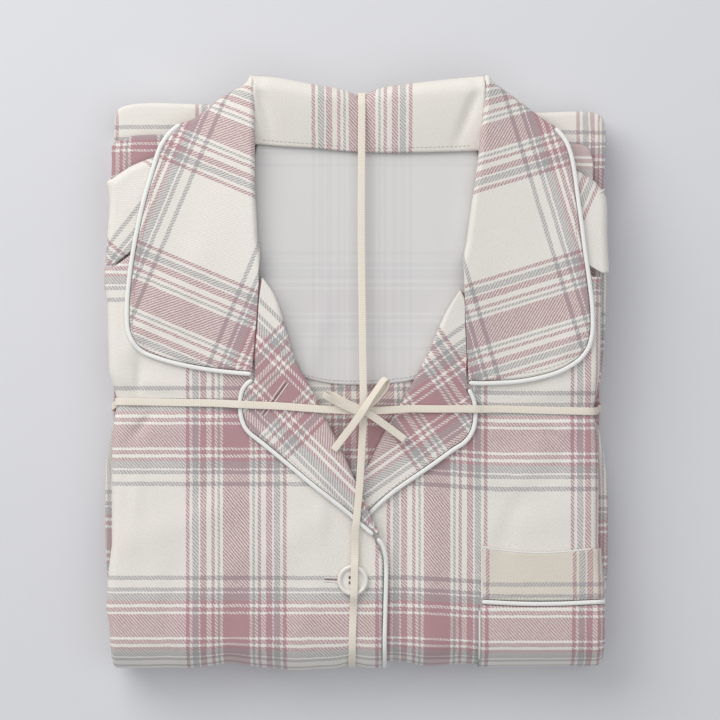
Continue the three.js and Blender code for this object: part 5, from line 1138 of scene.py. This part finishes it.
# Pale tubes along the folded edges of the band and the pocket: painted highlight where these folds catch the light; the
# pocket's edge is also a pale stitched edge
band, body = grids["pocket_band"][0], grids["pocket"][0]
for name, edge in (("band", np.vstack([band[:0:-4, 0], band[0, :-4:4]])), ("pocket", body[2:20:2, 0])):
    tubeAlong("highlight_edge_" + name, edge - [0, 0, 0.15], 0.55, paleThreadAndHighlight)
stitches("stitches_neck", grids["collar_back"][0][-3, 4:-4:5])
stitches("stitches_hem", grids["neck_facing"][0][-3, 2:-2:5])
buttonhole("buttonhole_lapel", (-39.1, -5.6), (-52.6, -24.2), lambda x, y: (
    frontTop(x, y) + form["plyGap"] + form["lapelWall"] + tent("left", x, y)))
buttonhole("buttonhole_front", (-18.4, -116.6), (-9, -117), frontTop)
print("cloth and sewing made")

# Button: a turned profile of radius and height, with four holes cut through
button = {"x": -2.1, "y": -117, "hole": 0.95, "spread": 2.05,
          "profile": [(0, 0), (4, 0), (7, 0), (7.9, 0.45), (8.4, 1), (8.75, 1.9), (8.6, 2.4), (8.25, 2.8), (7.6, 3),
                      (7, 2.86), (6.4, 2.45), (5.7, 1.9), (4.9, 1.6), (3.6, 1.5), (0, 1.5)]}


def addButton():
    # Ring points r (cos a, sin a) at height z; then each hole's cylinder is taken away
    profile = at(curve(button["profile"]), steps(0, 1, 56))
    profile[[0, -1], 0] = 0.02
    a = steps(0, 2 * math.pi, 96, endpoint=False)
    base = [button["x"], button["y"], float(frontTop(button["x"], button["y"])) + form["plyGap"]]
    ring = np.stack([profile[:, :1] * np.cos(a), profile[:, :1] * np.sin(a),
                     np.repeat(profile[:, 1:], len(a), 1)], -1) + base
    made = closedTube("button_turned", ring, stripUv(profile[:, 1], 1, len(a)), resin, "button")
    h = button["spread"] / math.sqrt(2)
    for k, (dx, dy) in enumerate(((-h, -h), (h, -h), (h, h), (-h, h))):
        b = steps(0, 2 * math.pi, 32, endpoint=False)
        drill = np.stack([np.stack([button["hole"] * np.cos(b) + dx, button["hole"] * np.sin(b) + dy,
                                    0 * b + z], -1) for z in (-2, 6)]) + base
        cutter = closedTube("cutter", drill, stripUv(np.array([0, 1]), 1, len(b)), resin)
        cut = made.modifiers.new("hole", "BOOLEAN")
        cut.object, cut.operation = cutter, "DIFFERENCE"
        ready = made.evaluated_get(bpy.context.evaluated_depsgraph_get())
        mesh = bpy.data.meshes.new_from_object(ready)
        made.modifiers.clear()
        made.data = mesh
        bpy.data.objects.remove(cutter)


addButton()

# Tape: a thin strip with rounded edges along each run
tapeRuns = {
    "tape_down": ((1, 0, 0), [
        (4, -22.3, 45.75), (3.1, -40, 45.1), (1.7, -64, 44.2), (0.6, -76, 44), (-0.2, -85, 44), (-0.75, -91, 42.9),
        (-0.8, -98, 41.8), (-0.9, -104, 42), (-1, -108.4, 43), (-1.2, -117, 43.15), (-1.5, -125.7, 43),
        (-1.7, -131, 40.6), (-1.9, -137, 39.4), (-2.3, -149, 39.2), (-2.4, -157.3, 37.2), (-2.5, -164, 31.6),
        (-2.6, -167.6, 23.5), (-2.6, -167.5, 14.4), (-2.5, -163.8, 6.4), (-2.5, -157, 1), (-2.5, -150, 0.5),
        (-2.5, -146, 0.475), (-2.5, -140, 0.475), (-2.5, -30, 0.475), (-2.5, -26.7, 0.475),
        (-2.5, -23.8, 1.17), (-2.5, -17.2, 1.17), (-2.5, -14.3, 0.475), (-2.5, -11, 0.475),
        (-2.1, 131, 0.475), (-2, 136, 0.475), (-0.5, 141, 1.4), (1.5, 147.5, 5.2),
        (2.2, 150.2, 9), (2.8, 150.4, 20), (3, 150.8, 26), (3, 153.6, 29.2), (3, 156.6, 32.2), (3, 157.2, 36),
        (3, 156, 39), (3, 153.6, 40.6), (3, 150.8, 41.7), (3, 147.5, 41.95), (2.9, 124, 42.4), (2.8, 74, 43.5),
        (3.7, 0, 45.3), (4, -21.6, 45.75)]),
    "tape_across": ((0, 1, 0), [
        (3.6, -22, 46.4), (-8, -21.3, 46.4), (-21, -20.7, 46.3), (-28, -20.2, 46), (-40, -19.3, 45.1),
        (-52, -18.7, 44.1), (-60, -18.4, 43.8), (-66, -18.1, 43.7), (-70.5, -17.9, 42.4), (-80, -17.5, 40.8),
        (-100, -17.2, 39.4), (-116, -16.9, 38.2), (-128, -16.7, 37.6), (-132.6, -16.7, 37), (-135.3, -16.8, 35.5),
        (-136.2, -17, 32.2), (-135.8, -17.4, 27), (-136.8, -18, 18), (-138.6, -19, 10), (-140.6, -20.2, 6),
        (-140.6, -20.5, 3.4), (-139.6, -20.5, 1.3), (-137, -20.5, 0.475), (-134, -20.5, 0.475),
        (0, -20.5, 0.475), (134, -20.5, 0.475), (137, -20.5, 0.475),
        (139.6, -20.5, 1.3), (140.6, -20.5, 3.4), (140.6, -20.7, 6), (139, -21, 10), (137.6, -21.4, 18),
        (137, -21.8, 26), (135.4, -22, 32.4), (134, -22.2, 35.6), (131.4, -22.2, 37.1), (128, -22.1, 37.8),
        (120, -21.9, 38.4), (100, -21.4, 39.3), (80, -20.8, 40.6), (71.5, -20.8, 42.2), (67, -20.8, 43.7),
        (60, -20.7, 43.9), (44, -20.7, 44.7), (30, -20.6, 45.3), (16, -21.4, 46), (4.3, -22, 46.4)]),
}
# The bow's strips: x, y, z and the direction across the strip, which tilts in the loops
bow = {
    "tape_loop_right": [
        (-12.9, -43.8, 46.1, 0.81, -0.59, 0.1), (-8.5, -38, 47.2, 0.81, -0.59, 0.1),
        (-2.6, -30.3, 49.2, 0.81, -0.59, 0.1), (2.2, -23.6, 50.6, 0.81, -0.59, 0.12),
        (5, -19.2, 51.2, 0.76, -0.55, 0.35), (9, -13, 51.7, 0.64, -0.46, 0.62), (12.4, -8, 51.8, 0.6, -0.44, 0.67),
        (14.9, -4.6, 51.5, 0.6, -0.44, 0.67), (16.9, -3.5, 50.4, 0.6, -0.44, 0.67),
        (17.4, -5.4, 49.3, 0.62, -0.45, 0.64), (15.6, -9.4, 48.9, 0.66, -0.48, 0.56),
        (11.4, -14.6, 49, 0.7, -0.5, 0.5), (6.8, -18.6, 49.2, 0.74, -0.53, 0.4)],
    "tape_loop_left": [
        (1.4, -22.3, 49.6, 0.46, 0.86, 0.2), (-4, -20.1, 50, 0.46, 0.85, 0.25), (-9.2, -17.6, 50.4, 0.45, 0.83, 0.33),
        (-13.4, -15.5, 51, 0.42, 0.77, 0.48), (-16.3, -13.9, 51.2, 0.4, 0.72, 0.56),
        (-18.1, -12.6, 50.4, 0.38, 0.7, 0.6), (-17.6, -11.9, 49.5, 0.38, 0.7, 0.6),
        (-14.2, -12.7, 49.5, 0.42, 0.77, 0.48), (-9, -15.5, 50.1, 0.45, 0.83, 0.33),
        (-3.4, -18.3, 49.7, 0.46, 0.86, 0.22), (2.2, -21, 49.1, 0.46, 0.86, 0.2)],
    "tape_tail_right": [
        (5.6, -22.4, 48.8, 0.5, 0.86, 0), (8.4, -24.2, 48, 0.5, 0.86, 0), (13, -27.4, 47.2, 0.5, 0.86, 0),
        (20, -32.6, 45.6, 0.5, 0.86, 0.05), (27.3, -38, 44.6, 0.5, 0.86, 0)],
}


def addTape(name, table, width=4.2, thickness=0.55):
    # Ring: p + side (w/2) sgn(cos a) |cos a|^0.3 + up (h/2) sgn(sin a) |sin a|^0.7
    line = curve(table, 16)
    line["share"] = path(line["points"][:, :3])["share"]
    length = path(line["points"][:, :3])["length"]
    t = steps(0, 1, max(int(length / 0.7), 12))
    p, across = np.split(at(line, t), 2, axis=1)
    d = along({"share": line["share"], "points": line["points"][:, :3]}, t)
    side = across - d * (d * across).sum(1, keepdims=True)
    side /= np.linalg.norm(side, axis=1, keepdims=True)
    up = np.cross(d, side)
    a = steps(0, 2 * math.pi, 16, endpoint=False) + 0.2
    w = width / 2 * np.sign(np.cos(a)) * np.abs(np.cos(a)) ** 0.3
    h = thickness / 2 * np.sign(np.sin(a)) * np.abs(np.sin(a)) ** 0.7
    ring = p[:, None] + w[None, :, None] * side[:, None] + h[None, :, None] * up[:, None]
    made = closedTube(name + "_strip", ring, stripUv(t * length, width / 2, 16), tapeCotton, name)
    print(name, "strip", round(float(length), 1), "mm long")


for name, (across, table) in tapeRuns.items():
    addTape(name, [(*p, *across) for p in table])
for name, table in bow.items():
    addTape(name, table)


def addKnot():
    # The wrap where the runs cross: rings r (|cos|^0.7, |sin|^0.7) between its bottom and top
    profile = at(curve([(0.05, 46.9), (0.75, 46.9), (0.97, 47.6), (1, 48.4), (0.93, 49.2), (0.66, 49.9),
                        (0.05, 49.95)]), steps(0, 1, 26))
    a = steps(0, 2 * math.pi, 48, endpoint=False)
    u = 3 * np.sign(np.cos(a)) * np.abs(np.cos(a)) ** 0.7
    v = 2.3 * np.sign(np.sin(a)) * np.abs(np.sin(a)) ** 0.7
    c, s = math.cos(0.95), math.sin(0.95)
    flat = np.stack([u * c - v * s, u * s + v * c], -1)
    ring = np.concatenate([profile[:, :1, None] * flat[None], np.broadcast_to(
        profile[:, 1, None, None], (26, 48, 1))], -1) + [4.4, -21.6, 0]
    closedTube("tape_knot_wrap", ring, stripUv(steps(0, 4, 26), 2, 48), tapeCotton, "tape_knot")


addKnot()
print("button and tape made")
